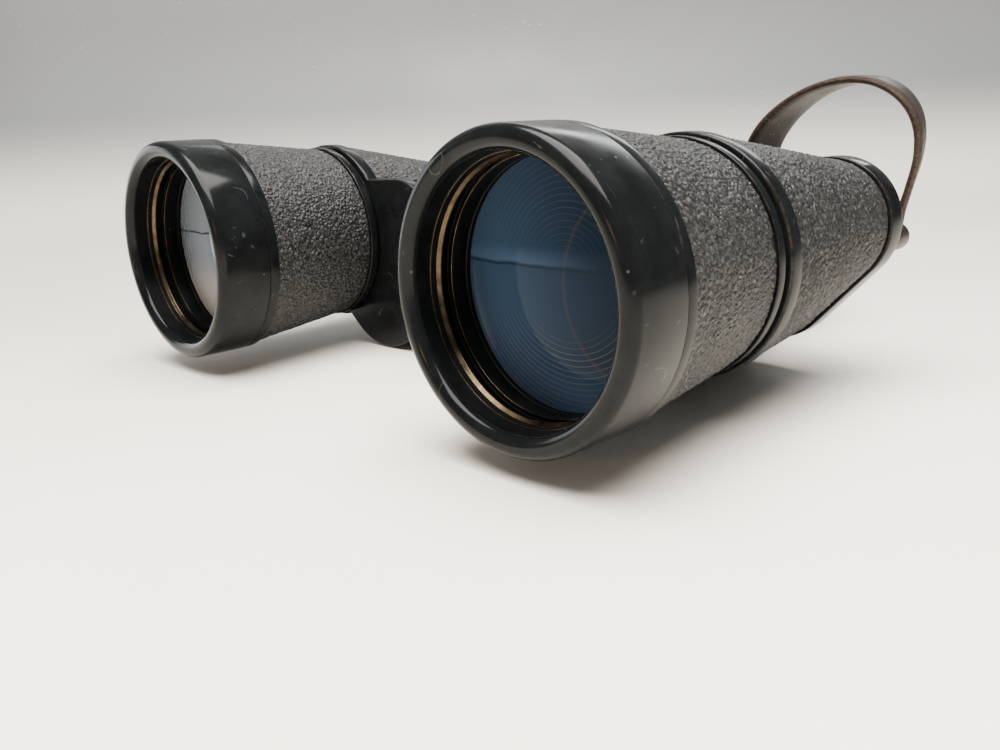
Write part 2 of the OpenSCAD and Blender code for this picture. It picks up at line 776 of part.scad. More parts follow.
// Flat strap swept along a route.
module strap_along(route) {
    section = strap_section();
    n = len(section);
    last = len(route) - 1;
    points = [
        for (i = [0 : last])
            let (w = route_width(route, i), t = cross(route_dir(route, i), w))
            for (c = section) [route[i][0], route[i][1], route[i][2]] + w * c[0] + t * c[1]
    ];
    sides = [
        for (i = [0 : last - 1], k = [0 : n - 1])
            let (a = i * n + k, b = i * n + (k + 1) % n)
            each [[a, b, b + n], [a, b + n, a + n]]
    ];
    first_cap = [for (k = [n - 1 : -1 : 0]) k];
    last_cap = [for (k = [0 : n - 1]) last * n + k];
    color([0.12, 0.08, 0.06]) polyhedron(points, concat(sides, [first_cap, last_cap]));
}

module strap_near() {
    strap_along(strap_near_route);
}

module strap_fall() {
    strap_along(strap_fall_route);
}

module strap_far() {
    strap_along(strap_far_route);
}

module strap_roll() {
    color([0.12, 0.08, 0.06])
    translate([roll_at[0], roll_at[1], seat]) rotate_extrude($fn = FINE)
        translate([roll_in, 0]) square([roll_r - roll_in, strap_w]);
}

// ---------- assembly ----------

for (side = SIDES) {
    objective_ring(side);
    lens_retainer(side);
    objective_lens(side);
    lens_cell(side);
    objective_tube(side);
    tube_covering(side);
    front_cover(side);
    prism_housing(side);
    hinge_arms(side);
    housing_covering(side);
    prism_shelf(side);
    rear_prism(side);
    front_prism(side);
    prism_straps(side);
    rear_cover(side);
    cover_screws(side);
    eyepiece_guide(side);
    eyepiece_barrel(side);
    field_lens(side);
    eye_lens(side);
    eyecup(side);
    bridge_arm(side);
    strap_lug(side);
    strap_loop(side);
}
hinge_axle();
hinge_sleeve();
tripod_bush();
focus_wheel();
focus_screw();
bridge_nut();
dioptre_ring();
strap_near();
strap_roll();
strap_far();
strap_fall();
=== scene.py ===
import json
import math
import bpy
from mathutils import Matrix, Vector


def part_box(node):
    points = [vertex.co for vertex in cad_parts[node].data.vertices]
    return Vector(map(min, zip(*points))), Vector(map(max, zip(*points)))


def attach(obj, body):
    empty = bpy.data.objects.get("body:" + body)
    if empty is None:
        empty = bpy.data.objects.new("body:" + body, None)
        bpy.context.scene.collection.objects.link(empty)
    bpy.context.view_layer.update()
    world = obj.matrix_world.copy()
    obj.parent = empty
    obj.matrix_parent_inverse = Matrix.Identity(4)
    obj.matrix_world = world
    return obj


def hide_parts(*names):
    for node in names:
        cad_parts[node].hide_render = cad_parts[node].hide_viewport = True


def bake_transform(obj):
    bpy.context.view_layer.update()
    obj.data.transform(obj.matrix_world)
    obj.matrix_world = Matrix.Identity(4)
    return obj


bl_info = {
    "name": "Prism Binoculars",
    "version": (1, 0, 0),
    "blender": (4, 5, 0),
    "location": "View3D > Sidebar > Binoculars",
    "description": "Finished pieces of a pair of folding prism binoculars, built around their CAD frame",
    "category": "Add Mesh",
}

import bmesh
import bpy
import numpy as np
from bpy.props import FloatProperty, FloatVectorProperty, IntProperty, PointerProperty
from mathutils import Matrix, Vector, noise

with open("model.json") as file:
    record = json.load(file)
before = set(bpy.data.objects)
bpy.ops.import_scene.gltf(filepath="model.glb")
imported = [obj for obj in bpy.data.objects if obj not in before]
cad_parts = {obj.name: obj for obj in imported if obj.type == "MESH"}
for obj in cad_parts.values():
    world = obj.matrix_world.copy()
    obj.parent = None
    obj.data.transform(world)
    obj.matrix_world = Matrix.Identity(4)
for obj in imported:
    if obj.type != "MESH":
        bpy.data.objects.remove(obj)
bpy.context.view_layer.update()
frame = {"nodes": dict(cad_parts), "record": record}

MM = 0.001
SIDES = (("R", "right", 1), ("L", "left", -1))

# Places of the axes, from the CAD nodes' own boxes.
RING_LOW, RING_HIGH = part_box("objective_ring_R")
EYE_LOW, EYE_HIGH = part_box("eyecup_R")
AXLE_LOW, AXLE_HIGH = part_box("hinge_axle")
FRONT_Y = RING_LOW.y
OBJECTIVE_X = (RING_LOW.x + RING_HIGH.x) / 2
AXIS_Z = (RING_LOW.z + RING_HIGH.z) / 2
RING_R = (RING_HIGH.x - RING_LOW.x) / 2 / MM
EYE_X = (EYE_LOW.x + EYE_HIGH.x) / 2
HINGE_Z = (AXLE_LOW.z + AXLE_HIGH.z) / 2
# The same in the local frame of one half: millimetres from the objective's axis.
EYE_AT = (EYE_X - OBJECTIVE_X) / MM
HINGE_AT = (-OBJECTIVE_X / MM, (HINGE_Z - AXIS_Z) / MM)


def local_y(node, end):
    """Distance of a CAD node's low (0) or high (1) end from the front of the rings, in millimetres."""
    return (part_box(node)[end].y - FRONT_Y) / MM


# ---------------------------------------------------------------- settings


class BinocularSizes(bpy.types.PropertyGroup):
    """Sizes of the finished pieces."""

    lip_rounding: FloatProperty(
        name="Lip rounding",
        description="Radius of the objective ring's rounded lip, in millimetres",
        default=2.2,
        min=0.5,
        max=2.2,
    )
    ring_steps: IntProperty(
        name="Turning steps",
        description="Steps round each turned piece",
        default=192,
        min=32,
        max=256,
    )
    pebble_size: FloatProperty(
        name="Pebble size",
        description="Width of one pebble of the covering, in millimetres",
        default=1.2,
        min=0.8,
        max=3.0,
    )
    pebble_height: FloatProperty(
        name="Pebble height",
        description="Height of the covering's pebbles, in millimetres",
        default=0.34,
        min=0.0,
        max=0.6,
    )
    strap_width: FloatProperty(
        name="Strap width",
        description="Width of the neck strap",
        default=0.010,
        min=0.008,
        max=0.012,
        unit="LENGTH",
    )
    strap_thickness: FloatProperty(
        name="Strap thickness",
        description="Thickness of the neck strap",
        default=0.0018,
        min=0.001,
        max=0.002,
        unit="LENGTH",
    )


class BinocularColours(bpy.types.PropertyGroup):
    """Colours of the finishes."""

    enamel: FloatVectorProperty(
        name="Enamel",
        description="Glossy enamel of the rings and covers",
        subtype="COLOR",
        size=3,
        default=(0.0042, 0.0047, 0.0051),
    )
    matt: FloatVectorProperty(
        name="Matt black",
        description="Blackened metal inside the objectives",
        subtype="COLOR",
        size=3,
        default=(0.0008, 0.001, 0.0012),
    )
    covering: FloatVectorProperty(
        name="Covering",
        description="Pebbled leatherette",
        subtype="COLOR",
        size=3,
        default=(0.0185, 0.0188, 0.019),
    )
    brass: FloatVectorProperty(
        name="Brass",
        description="Darkened brass of the lens rings",
        subtype="COLOR",
        size=3,
        default=(0.085, 0.062, 0.038),
    )
    lens: FloatVectorProperty(
        name="Lens",
        description="Depth of the coated lens",
        subtype="COLOR",
        size=3,
        default=(0.014, 0.026, 0.046),
    )
    strap: FloatVectorProperty(
        name="Strap",
        description="Strap leather",
        subtype="COLOR",
        size=3,
        default=(0.0065, 0.0055, 0.005),
    )
    floor: FloatVectorProperty(
        name="Floor",
        description="Pale table top",
        subtype="COLOR",
        size=3,
        default=(0.96, 0.905, 0.815),
    )


class BinocularStage(bpy.types.PropertyGroup):
    """Camera and lights."""

    camera_at: FloatVectorProperty(
        name="Camera place",
        description="Place of the camera",
        subtype="TRANSLATION",
        size=3,
        unit="LENGTH",
        default=(0.18012, -0.19012, 0.06329),
    )
    heading: FloatProperty(
        name="Heading",
        description="Turn of the camera from the +Y direction towards +X",
        default=-0.8149,
        unit="ROTATION",
    )
    pitch: FloatProperty(
        name="Pitch", description="Tilt of the camera", default=-0.2654, unit="ROTATION"
    )
    roll: FloatProperty(
        name="Roll", description="Roll of the camera", default=-0.04997, unit="ROTATION"
    )
    focal_length: FloatProperty(
        name="Focal length",
        description="Focal length in millimetres on a 36 mm sensor",
        default=32.70,
    )
    key_power: FloatProperty(
        name="Top light", description="Power of the soft light overhead", default=36.0, unit="POWER"
    )
    warm_power: FloatProperty(
        name="Warm light", description="Power of the small warm light", default=0.5, unit="POWER"
    )


# ---------------------------------------------------------------- node groups


def add_node(tree, kind, **settings):
    """A node of a kind with its settings."""
    made = tree.nodes.new(kind)
    for key, value in settings.items():
        setattr(made, key, value)
    return made


def join(tree, value, socket):
    """Puts a socket's output or a plain value into an input."""
    if isinstance(value, bpy.types.NodeSocket):
        tree.links.new(value, socket)
    else:
        socket.default_value = value


def maths(tree, operation, a, b=None, c=None, clamp=False):
    made = add_node(tree, "ShaderNodeMath", operation=operation, use_clamp=clamp)
    for place, value in enumerate((a, b, c)):
        if value is not None:
            join(tree, value, made.inputs[place])
    return made.outputs[0]


def mix_colours(tree, factor, a, b, blend_type="MIX"):
    made = add_node(tree, "ShaderNodeMix", data_type="RGBA", blend_type=blend_type)
    join(tree, factor, made.inputs[0])
    for place, value in ((6, a), (7, b)):
        if not isinstance(value, bpy.types.NodeSocket):
            value = (*value[:3], 1.0)
        join(tree, value, made.inputs[place])
    return made.outputs[2]


def ramp(tree, value, low, high, to_low=0.0, to_high=1.0):
    made = add_node(tree, "ShaderNodeMapRange", interpolation_type="SMOOTHSTEP")
    for place, number in enumerate((value, low, high, to_low, to_high)):
        join(tree, number, made.inputs[place])
    return made.outputs[0]


def noise_value(tree, vector, scale, detail=3.0, roughness=0.55):
    made = add_node(tree, "ShaderNodeTexNoise")
    join(tree, vector, made.inputs["Vector"])
    join(tree, scale, made.inputs["Scale"])
    made.inputs["Detail"].default_value = detail
    made.inputs["Roughness"].default_value = roughness
    return made.outputs["Fac"]


def new_group(name, inputs, outputs):
    """An empty shader node group with named sockets, its input node and its output node."""
    tree = bpy.data.node_groups.new(name, "ShaderNodeTree")
    for socket, kind, default in inputs:
        made = tree.interface.new_socket(name=socket, in_out="INPUT", socket_type=kind)
        if default is not None:
            made.default_value = default
    for socket, kind in outputs:
        tree.interface.new_socket(name=socket, in_out="OUTPUT", socket_type=kind)
    return tree, tree.nodes.new("NodeGroupInput").outputs, tree.nodes.new("NodeGroupOutput").inputs


FLOAT = "NodeSocketFloat"
VECTOR = "NodeSocketVector"


def specks_group():
    """Small round chips or dust grains, scattered over the surface."""
    tree, given, put = new_group(
        "Specks",
        [("Vector", VECTOR, None), ("Scale", FLOAT, 600.0), ("Share", FLOAT, 0.1), ("Radius", FLOAT, 0.25)],
        [("Mask", FLOAT)],
    )
    cells = add_node(tree, "ShaderNodeTexVoronoi")
    join(tree, given["Vector"], cells.inputs["Vector"])
    join(tree, given["Scale"], cells.inputs["Scale"])
    split = add_node(tree, "ShaderNodeSeparateColor")
    join(tree, cells.outputs["Color"], split.inputs[0])
    chosen = maths(tree, "LESS_THAN", split.outputs[0], given["Share"])
    radius = maths(tree, "MULTIPLY", given["Radius"], maths(tree, "MULTIPLY_ADD", split.outputs[1], 0.9, 0.3))
    near = maths(tree, "LESS_THAN", cells.outputs["Distance"], radius)
    join(tree, maths(tree, "MULTIPLY", chosen, near), put["Mask"])
    return tree


def smudges_group():
    """Slow change over the surface, from handling, between two values."""
    tree, given, put = new_group(
        "Smudges",
        [("Vector", VECTOR, None), ("Scale", FLOAT, 90.0), ("Low", FLOAT, 0.2), ("High", FLOAT, 0.35)],
        [("Value", FLOAT)],
    )
    coarse = noise_value(tree, given["Vector"], given["Scale"], 4.0, 0.6)
    join(tree, ramp(tree, coarse, 0.35, 0.68, given["Low"], given["High"]), put["Value"])
    return tree


def scratches_group():
    """Sparse hair lines."""
    tree, given, put = new_group(
        "Scratches", [("Vector", VECTOR, None), ("Scale", FLOAT, 120.0), ("Width", FLOAT, 0.012)], [("Mask", FLOAT)]
    )
    bent = noise_value(tree, given["Vector"], given["Scale"], 1.0, 0.4)
    line = maths(tree, "LESS_THAN", maths(tree, "ABSOLUTE", maths(tree, "SUBTRACT", bent, 0.5)), given["Width"])
    where = ramp(tree, noise_value(tree, given["Vector"], 260.0, 2.0), 0.56, 0.66)
    join(tree, maths(tree, "MULTIPLY", line, where), put["Mask"])
    return tree


def edge_wear_group():
    """Wear where the mesh's edge attribute says that a surface turns sharply outwards."""
    tree, given, put = new_group(
        "Edge wear", [("Edge", FLOAT, 0.0), ("Vector", VECTOR, None), ("Amount", FLOAT, 0.5)], [("Mask", FLOAT)]
    )
    broken = noise_value(tree, given["Vector"], 700.0, 5.0, 0.7)
    limit = maths(tree, "SUBTRACT", 1.0, maths(tree, "MULTIPLY", given["Amount"], broken))
    level = maths(tree, "SUBTRACT", given["Edge"], limit)
    join(tree, ramp(tree, level, 0.1, 0.35), put["Mask"])
    return tree


def grain_group():
    """Fine height detail for the bump of cast, painted and leather surfaces."""
    tree, given, put = new_group(
        "Grain", [("Vector", VECTOR, None), ("Scale", FLOAT, 2500.0), ("Lumps", FLOAT, 0.3)], [("Height", FLOAT)]
    )
    fine = noise_value(tree, given["Vector"], given["Scale"], 3.0, 0.6)
    coarse = noise_value(tree, given["Vector"], maths(tree, "MULTIPLY", given["Scale"], 0.12), 2.0)
    join(tree, maths(tree, "ADD", fine, maths(tree, "MULTIPLY", coarse, given["Lumps"])), put["Height"])
    return tree


GROUP_MAKERS = {
    "Specks": specks_group,
    "Smudges": smudges_group,
    "Scratches": scratches_group,
    "Edge wear": edge_wear_group,
    "Grain": grain_group,
}


def effect(tree, name, vector, **values):
    """Places a shared effect in a material with its own values and returns its output."""
    made = add_node(tree, "ShaderNodeGroup")
    made.node_tree = bpy.data.node_groups.get(name) or GROUP_MAKERS[name]()
    join(tree, vector, made.inputs["Vector"])
    for key, value in values.items():
        join(tree, value, made.inputs[key])
    return made.outputs[0]


# ---------------------------------------------------------------- finishes


class Finish:
    """A material under construction: its tree, Principled shader and object coordinates."""

    def __init__(self, name, **fixed):
        self.material = bpy.data.materials.new(name)
        self.material.use_nodes = True
        self.tree = self.material.node_tree
        self.shader = next(n for n in self.tree.nodes if n.type == "BSDF_PRINCIPLED")
        self.place = add_node(self.tree, "ShaderNodeTexCoord").outputs["Object"]
        for key, value in fixed.items():
            self.set(key.replace("_", " "), value)

    def set(self, socket, value):
        join(self.tree, value, self.shader.inputs[socket])

    def effect(self, name, **values):
        return effect(self.tree, name, self.place, **values)

    def attribute(self, name):
        return add_node(self.tree, "ShaderNodeAttribute", attribute_name=name).outputs["Fac"]

    def bump(self, height, strength, distance):
        made = add_node(self.tree, "ShaderNodeBump")
        made.inputs["Strength"].default_value = strength
        made.inputs["Distance"].default_value = distance
        join(self.tree, height, made.inputs["Height"])
        self.set("Normal", made.outputs[0])

    def axis_distance(self, x, z):
        """Distance from an axis along Y, in metres."""
        split = add_node(self.tree, "ShaderNodeSeparateXYZ")
        join(self.tree, self.place, split.inputs[0])
        across = maths(self.tree, "SUBTRACT", split.outputs[0], x)
        up = maths(self.tree, "SUBTRACT", split.outputs[2], z)
        squares = maths(self.tree, "ADD", maths(self.tree, "POWER", across, 2.0), maths(self.tree, "POWER", up, 2.0))
        return maths(self.tree, "SQRT", squares), across, up, split.outputs[1]


def painted(name, colour, worn, rough, wear=0.5, specks=0.08, grain=(2500.0, 0.25), coat=0.0, metallic=0.0, shine=0.4):
    """Paint or plating: handled sheen, worn edges, dust, chips, hair lines and a fine grain."""
    f = Finish(name, Metallic=metallic, Coat_Weight=coat, Coat_Roughness=0.12, Specular_IOR_Level=shine)
    t = f.tree
    tone = f.effect("Smudges", Scale=140.0, Low=0.0, High=1.0)
    body = mix_colours(t, tone, colour, [c * 1.6 for c in colour])
    worn_edge = f.effect("Edge wear", Edge=f.attribute("edge"), Amount=wear)
    chips = f.effect("Specks", Scale=520.0, Share=specks, Radius=0.16)
    lines = f.effect("Scratches", Scale=95.0, Width=0.006)
    body = mix_colours(t, worn_edge, body, worn)
    body = mix_colours(t, maths(t, "MULTIPLY", chips, 0.4), body, [0.09, 0.085, 0.08])
    body = mix_colours(t, maths(t, "MULTIPLY", lines, 0.3), body, [0.09, 0.09, 0.09])
    f.set("Base Color", body)
    sheen = f.effect("Smudges", Scale=70.0, Low=rough[0], High=rough[1])
    f.set("Roughness", maths(t, "ADD", sheen, maths(t, "MULTIPLY", maths(t, "MAXIMUM", chips, worn_edge), 0.2), clamp=True))
    f.bump(f.effect("Grain", Scale=grain[0], Lumps=0.5), grain[1], 0.00004)
    return f.material


def turned_metal(name, colour, rough, line_scale=2600.0, x=0.0, z=0.0, metallic=1.0):
    """Turned metal: fine rings about its axis, tarnish and stains."""
    f = Finish(name, Metallic=metallic)
    t = f.tree
    distance, _, _, along = f.axis_distance(x, z)
    lines = maths(t, "SINE", maths(t, "MULTIPLY", maths(t, "ADD", distance, along), line_scale * 2))
    stain = f.effect("Smudges", Scale=240.0, Low=0.0, High=1.0)
    dots = f.effect("Specks", Scale=900.0, Share=0.12, Radius=0.2)
    body = mix_colours(t, stain, [c * 0.45 for c in colour], colour)
    body = mix_colours(t, maths(t, "MULTIPLY", dots, 0.6), body, [c * 0.2 for c in colour])
    f.set("Base Color", body)
    f.set("Roughness", f.effect("Smudges", Scale=160.0, Low=rough[0], High=rough[1]))
    f.bump(maths(t, "MULTIPLY_ADD", lines, 0.5, f.effect("Grain", Scale=3000.0)), 0.2, 0.00003)
    return f.material


def matt_black(colours):
    """Blackened inner walls with a few bright dust grains."""
    f = Finish("matt black", Specular_IOR_Level=0.1)
    t = f.tree
    dust = f.effect("Specks", Scale=1100.0, Share=0.05, Radius=0.16)
    tone = f.effect("Smudges", Scale=180.0, Low=0.0, High=1.0)
    body = mix_colours(t, tone, colours.matt, [c * 2.0 for c in colours.matt])
    f.set("Base Color", mix_colours(t, dust, body, [0.05, 0.05, 0.055]))
    f.set("Roughness", f.effect("Smudges", Scale=90.0, Low=0.42, High=0.6))
    f.bump(f.effect("Grain", Scale=1800.0), 0.4, 0.00005)
    return f.material


def leatherette(colours):
    """Pebbled covering: pebble tops paler, partly rubbed wear and partly a painted highlight, valleys darker with
    painted shade, and a fine grain over the modelled pebbles.
    """
    f = Finish("leatherette", Specular_IOR_Level=0.3)
    t = f.tree
    height = f.attribute("pebble")
    tone = f.effect("Smudges", Scale=60.0, Low=0.0, High=1.0)
    cells = add_node(t, "ShaderNodeTexVoronoi", feature="SMOOTH_F1")
    join(t, f.place, cells.inputs["Vector"])
    cells.inputs["Scale"].default_value = 1250.0
    cells.inputs["Smoothness"].default_value = 0.3
    lump = ramp(t, cells.outputs["Distance"], 0.75, 0.1)
    relief = maths(t, "ADD", height, maths(t, "MULTIPLY", lump, 0.45))
    body = mix_colours(t, tone, colours.covering, [c * 1.4 for c in colours.covering])
    # Painted shade: the valleys between the pebbles are darkened.
    body = mix_colours(t, ramp(t, relief, 0.05, 0.7, 1.0, 0.0), body, [c * 0.12 for c in colours.covering])
    # Paler pebble tops: partly rubbed wear and partly a painted highlight.
    rubbed = maths(t, "MULTIPLY", ramp(t, relief, 0.85, 1.35), 0.75)
    body = mix_colours(t, rubbed, body, [c * 3.4 for c in colours.covering])
    dust = f.effect("Specks", Scale=420.0, Share=0.03, Radius=0.1)
    f.set("Base Color", mix_colours(t, maths(t, "MULTIPLY", dust, 0.5), body, [0.2, 0.19, 0.18]))
    f.set("Roughness", maths(t, "SUBTRACT", f.effect("Smudges", Scale=50.0, Low=0.48, High=0.6), maths(t, "MULTIPLY", height, 0.12)))
    f.bump(maths(t, "ADD", lump, f.effect("Grain", Scale=2600.0, Lumps=0.6)), 0.75, 0.00024)
    return f.material


def strap_leather(colours):
    """Strap leather: rubbed brown along the edges and bends, nearly black elsewhere, with fibres along it."""
    f = Finish("strap leather", Specular_IOR_Level=0.2)
    t = f.tree
    worn = f.attribute("rubbed")
    stretched = add_node(t, "ShaderNodeMapping")
    stretched.inputs["Scale"].default_value = (1.0, 1.0, 3.0)
    join(t, f.place, stretched.inputs["Vector"])
    fibres = noise_value(t, stretched.outputs[0], 900.0, 4.0, 0.65)
    tone = f.effect("Smudges", Scale=110.0, Low=0.0, High=1.0)
    body = mix_colours(t, tone, colours.strap, [c * 1.7 for c in colours.strap])
    brown = maths(t, "MULTIPLY", worn, ramp(t, fibres, 0.3, 0.7))
    body = mix_colours(t, brown, body, [0.055, 0.033, 0.023])
    cracks = f.effect("Scratches", Scale=210.0, Width=0.01)
    f.set("Base Color", mix_colours(t, maths(t, "MULTIPLY", cracks, 0.4), body, [0.12, 0.09, 0.07]))
    f.set("Roughness", f.effect("Smudges", Scale=80.0, Low=0.36, High=0.56))
    f.bump(maths(t, "ADD", fibres, f.effect("Grain", Scale=2200.0)), 0.45, 0.00008)
    return f.material


def lens_glass(colours, side):
    """Coated lens over a dark barrel: deep blue, with painted light, shade and reflections in its colour: one side
    lighter, a glow low down, the barrel's threads as thin rings, a ghost arc, a pale band with a dark line, and pale
    grey where it is seen at a grazing angle.
    """
    sign = 1 if side == "R" else -1
    x = sign * OBJECTIVE_X
    f = Finish("coated lens " + side, IOR=1.5, Coat_Roughness=0.02)
    f.set("Specular Tint", (0.72, 0.84, 1.0, 1.0))
    t = f.tree
    view = add_node(t, "ShaderNodeLayerWeight")
    view.inputs["Blend"].default_value = 0.5
    grazing = ramp(t, view.outputs["Facing"], 0.47, 0.60)
    f.set("Coat Weight", grazing)
    f.set("Specular IOR Level", maths(t, "MULTIPLY_ADD", grazing, 0.6, 0.04))
    _, across, up, _ = f.axis_distance(x, AXIS_Z)
    ring_far, _, _, _ = f.axis_distance(x + 0.004, AXIS_Z + 0.003)
    ghost, _, _, _ = f.axis_distance(x + 0.024, AXIS_Z + 0.001)
    pale = [min(1.0, c * 2.6) for c in colours.lens]
    dark = [c * 0.55 for c in colours.lens]
    # Painted light and shade: the lens is lighter towards -X and darker towards +X.
    body = mix_colours(t, ramp(t, across, -0.024, 0.016), [c * 1.7 for c in colours.lens], dark)
    # Painted reflection: a lighter patch low on the lens, towards +X.
    painted_low_reflection = maths(t, "MULTIPLY", ramp(t, up, -0.012, -0.024), ramp(t, across, -0.012, 0.010))
    body = mix_colours(t, painted_low_reflection, body, [c * 2.4 for c in colours.lens])
    # Painted reflections of the barrel's threads: thin lighter rings about an axis set 4 mm off the lens's own, low
    # down and, fainter, high up.
    wave = maths(t, "SINE", maths(t, "MULTIPLY", ring_far, 2 * math.pi / 0.00115))
    thin = ramp(t, wave, 0.72, 1.0)
    low = maths(t, "MULTIPLY", ramp(t, up, 0.0, -0.014), ramp(t, ring_far, 0.010, 0.017))
    high = maths(t, "MULTIPLY", ramp(t, up, 0.002, 0.016), 0.35)
    rings = maths(t, "MULTIPLY", thin, maths(t, "MULTIPLY", maths(t, "MAXIMUM", low, high), 0.55))
    body = mix_colours(t, rings, body, [0.085, 0.075, 0.08])
    # Painted ghost reflection: a thin reddish arc of 20.5 mm radius round a point 24 mm off the axis.
    painted_ghost_arc = ramp(t, maths(t, "ABSOLUTE", maths(t, "SUBTRACT", ghost, 0.0205)), 0.0006, 0.0001)
    body = mix_colours(t, maths(t, "MULTIPLY", painted_ghost_arc, 0.3), body, [0.05, 0.035, 0.035])
    # Painted reflection: a pale band across the upper lens, with a wavy edge, fading towards +X.
    wobble = noise_value(t, f.place, 120.0, 2.0)
    level = maths(t, "SUBTRACT", maths(t, "SUBTRACT", up, 0.0034), maths(t, "MULTIPLY", wobble, 0.0012))
    band = maths(t, "MULTIPLY", ramp(t, level, 0.0, 0.0004), ramp(t, level, 0.0042, 0.0002))
    band = maths(t, "MULTIPLY", band, ramp(t, across, 0.016, -0.016))
    body = mix_colours(t, maths(t, "MULTIPLY", band, 0.8), body, pale)
    # Painted reflection: a dark line along the band's lower edge.
    line = ramp(t, maths(t, "ABSOLUTE", maths(t, "ADD", level, 0.0003)), 0.0004, 0.0001)
    body = mix_colours(t, maths(t, "MULTIPLY", line, 0.8), body, dark)
    # Painted reflection: seen at a grazing angle the lens turns a pale grey, warmer and paler low down, crossed by the
    # dark line.
    painted_grazing_reflection = mix_colours(t, ramp(t, up, -0.002, -0.016), [0.20, 0.23, 0.27], [0.42, 0.39, 0.36])
    painted_grazing_reflection = mix_colours(t, maths(t, "MULTIPLY", line, 0.9), painted_grazing_reflection, [0.02, 0.022, 0.026])
    body = mix_colours(t, maths(t, "MULTIPLY", grazing, 0.9), body, painted_grazing_reflection)
    dust = f.effect("Specks", Scale=700.0, Share=0.05, Radius=0.09)
    f.set("Base Color", mix_colours(t, maths(t, "MULTIPLY", dust, 0.3), body, [0.2, 0.24, 0.28]))
    f.set("Roughness", f.effect("Smudges", Scale=70.0, Low=0.03, High=0.07))
    return f.material


def small_glass(name, colour):
    """Glass of the eyepieces and prisms, with a film of dust."""
    f = Finish(name, IOR=1.6, Coat_Weight=0.4, Coat_Roughness=0.03)
    f.set("Specular Tint", (0.6, 0.7, 1.0, 1.0))
    t = f.tree
    haze = f.effect("Smudges", Scale=180.0, Low=0.0, High=1.0)
    dust = f.effect("Specks", Scale=900.0, Share=0.06, Radius=0.12)
    body = mix_colours(t, haze, colour, [c * 1.5 for c in colour])
    f.set("Base Color", mix_colours(t, maths(t, "MULTIPLY", dust, 0.5), body, [0.3, 0.32, 0.34]))
    f.set("Roughness", f.effect("Smudges", Scale=120.0, Low=0.03, High=0.10))
    f.bump(f.effect("Grain", Scale=900.0), 0.03, 0.00003)
    return f.material


def floor_finish(colours):
    """Pale table top with faint marks, darker away from the camera's place by painted shade, that turns into a greyer
    backdrop where it rises.
    """
    stage = bpy.context.scene.binocular_stage
    f = Finish("pale table top", Specular_IOR_Level=0.3)
    t = f.tree
    split = add_node(t, "ShaderNodeSeparateXYZ")
    join(t, f.place, split.inputs[0])
    ahead = (math.sin(stage.heading), math.cos(stage.heading))
    along = maths(t, "MULTIPLY_ADD", split.outputs[0], ahead[0], maths(t, "MULTIPLY", split.outputs[1], ahead[1]))
    start = stage.camera_at[0] * ahead[0] + stage.camera_at[1] * ahead[1]
    tone = f.effect("Smudges", Scale=4.0, Low=0.0, High=1.0)
    body = mix_colours(t, tone, colours.floor, [c * 1.03 for c in colours.floor])
    # Painted shade: the table top darkens away from the camera's place, along its heading.
    body = mix_colours(t, ramp(t, along, start + 0.06, start + 0.40), body, [c * 0.66 for c in colours.floor])
    body = mix_colours(t, ramp(t, split.outputs[2], 0.002, 0.09), body, [0.165, 0.170, 0.172])
    lines = f.effect("Scratches", Scale=9.0, Width=0.0012)
    f.set("Base Color", mix_colours(t, maths(t, "MULTIPLY", lines, 0.2), body, [0.75, 0.72, 0.68]))
    f.set("Roughness", f.effect("Smudges", Scale=6.0, Low=0.4, High=0.55))
    return f.material


FINISH_MAKERS = {
    "enamel": lambda c: painted("enamel", c.enamel, (0.08, 0.06, 0.045), (0.13, 0.24), 0.3, 0.05, (1600.0, 0.08), 0.03, 0.0, 0.085),
    "matt": matt_black,
    "satin": lambda c: painted("satin black", c.enamel, (0.14, 0.13, 0.12), (0.34, 0.5), 0.5, 0.08, (2500.0, 0.3)),
    "plastic": lambda c: painted("eyecup plastic", (0.014, 0.014, 0.015), (0.05, 0.05, 0.05), (0.42, 0.58), 0.4, 0.06, (1900.0, 0.45)),
    "rivet": lambda c: painted("oxidised steel", (0.16, 0.16, 0.16), (0.45, 0.45, 0.45), (0.28, 0.45), 0.6, 0.1, (2500.0, 0.2), 0.0, 1.0),
    "aluminium": lambda c: painted("machined aluminium", (0.45, 0.45, 0.46), (0.6, 0.6, 0.6), (0.3, 0.42), 0.3, 0.05, (2500.0, 0.2), 0.0, 1.0),
    "brass": lambda c: turned_metal("darkened brass", c.brass, (0.24, 0.4), 2600.0, OBJECTIVE_X, AXIS_Z),
    "brass left": lambda c: turned_metal("darkened brass, left", c.brass, (0.24, 0.4), 2600.0, -OBJECTIVE_X, AXIS_Z),
    "steel": lambda c: turned_metal("turned steel", (0.38, 0.38, 0.38), (0.22, 0.36), 3000.0, 0.0, HINGE_Z),
    "leatherette": leatherette,
    "strap": strap_leather,
    "lens R": lambda c: lens_glass(c, "R"),
    "lens L": lambda c: lens_glass(c, "L"),
    "eye glass": lambda c: small_glass("eyepiece glass", (0.02, 0.03, 0.06)),
    "prism glass": lambda c: small_glass("prism glass", (0.35, 0.42, 0.42)),
    "floor": floor_finish,
}
MADE_FINISHES = {}


def finish_named(name):
    """The finish of that name, built the first time it is asked for."""
    if name not in MADE_FINISHES:
        MADE_FINISHES[name] = FINISH_MAKERS[name](bpy.context.scene.binocular_colours)
    return MADE_FINISHES[name]


# ---------------------------------------------------------------- mesh helpers


def half_frame(sign):
    """From one half's local millimetres to the row frame."""
    return Matrix.Translation((sign * OBJECTIVE_X, FRONT_Y, AXIS_Z)) @ Matrix.Diagonal((sign * MM, MM, MM, 1.0))


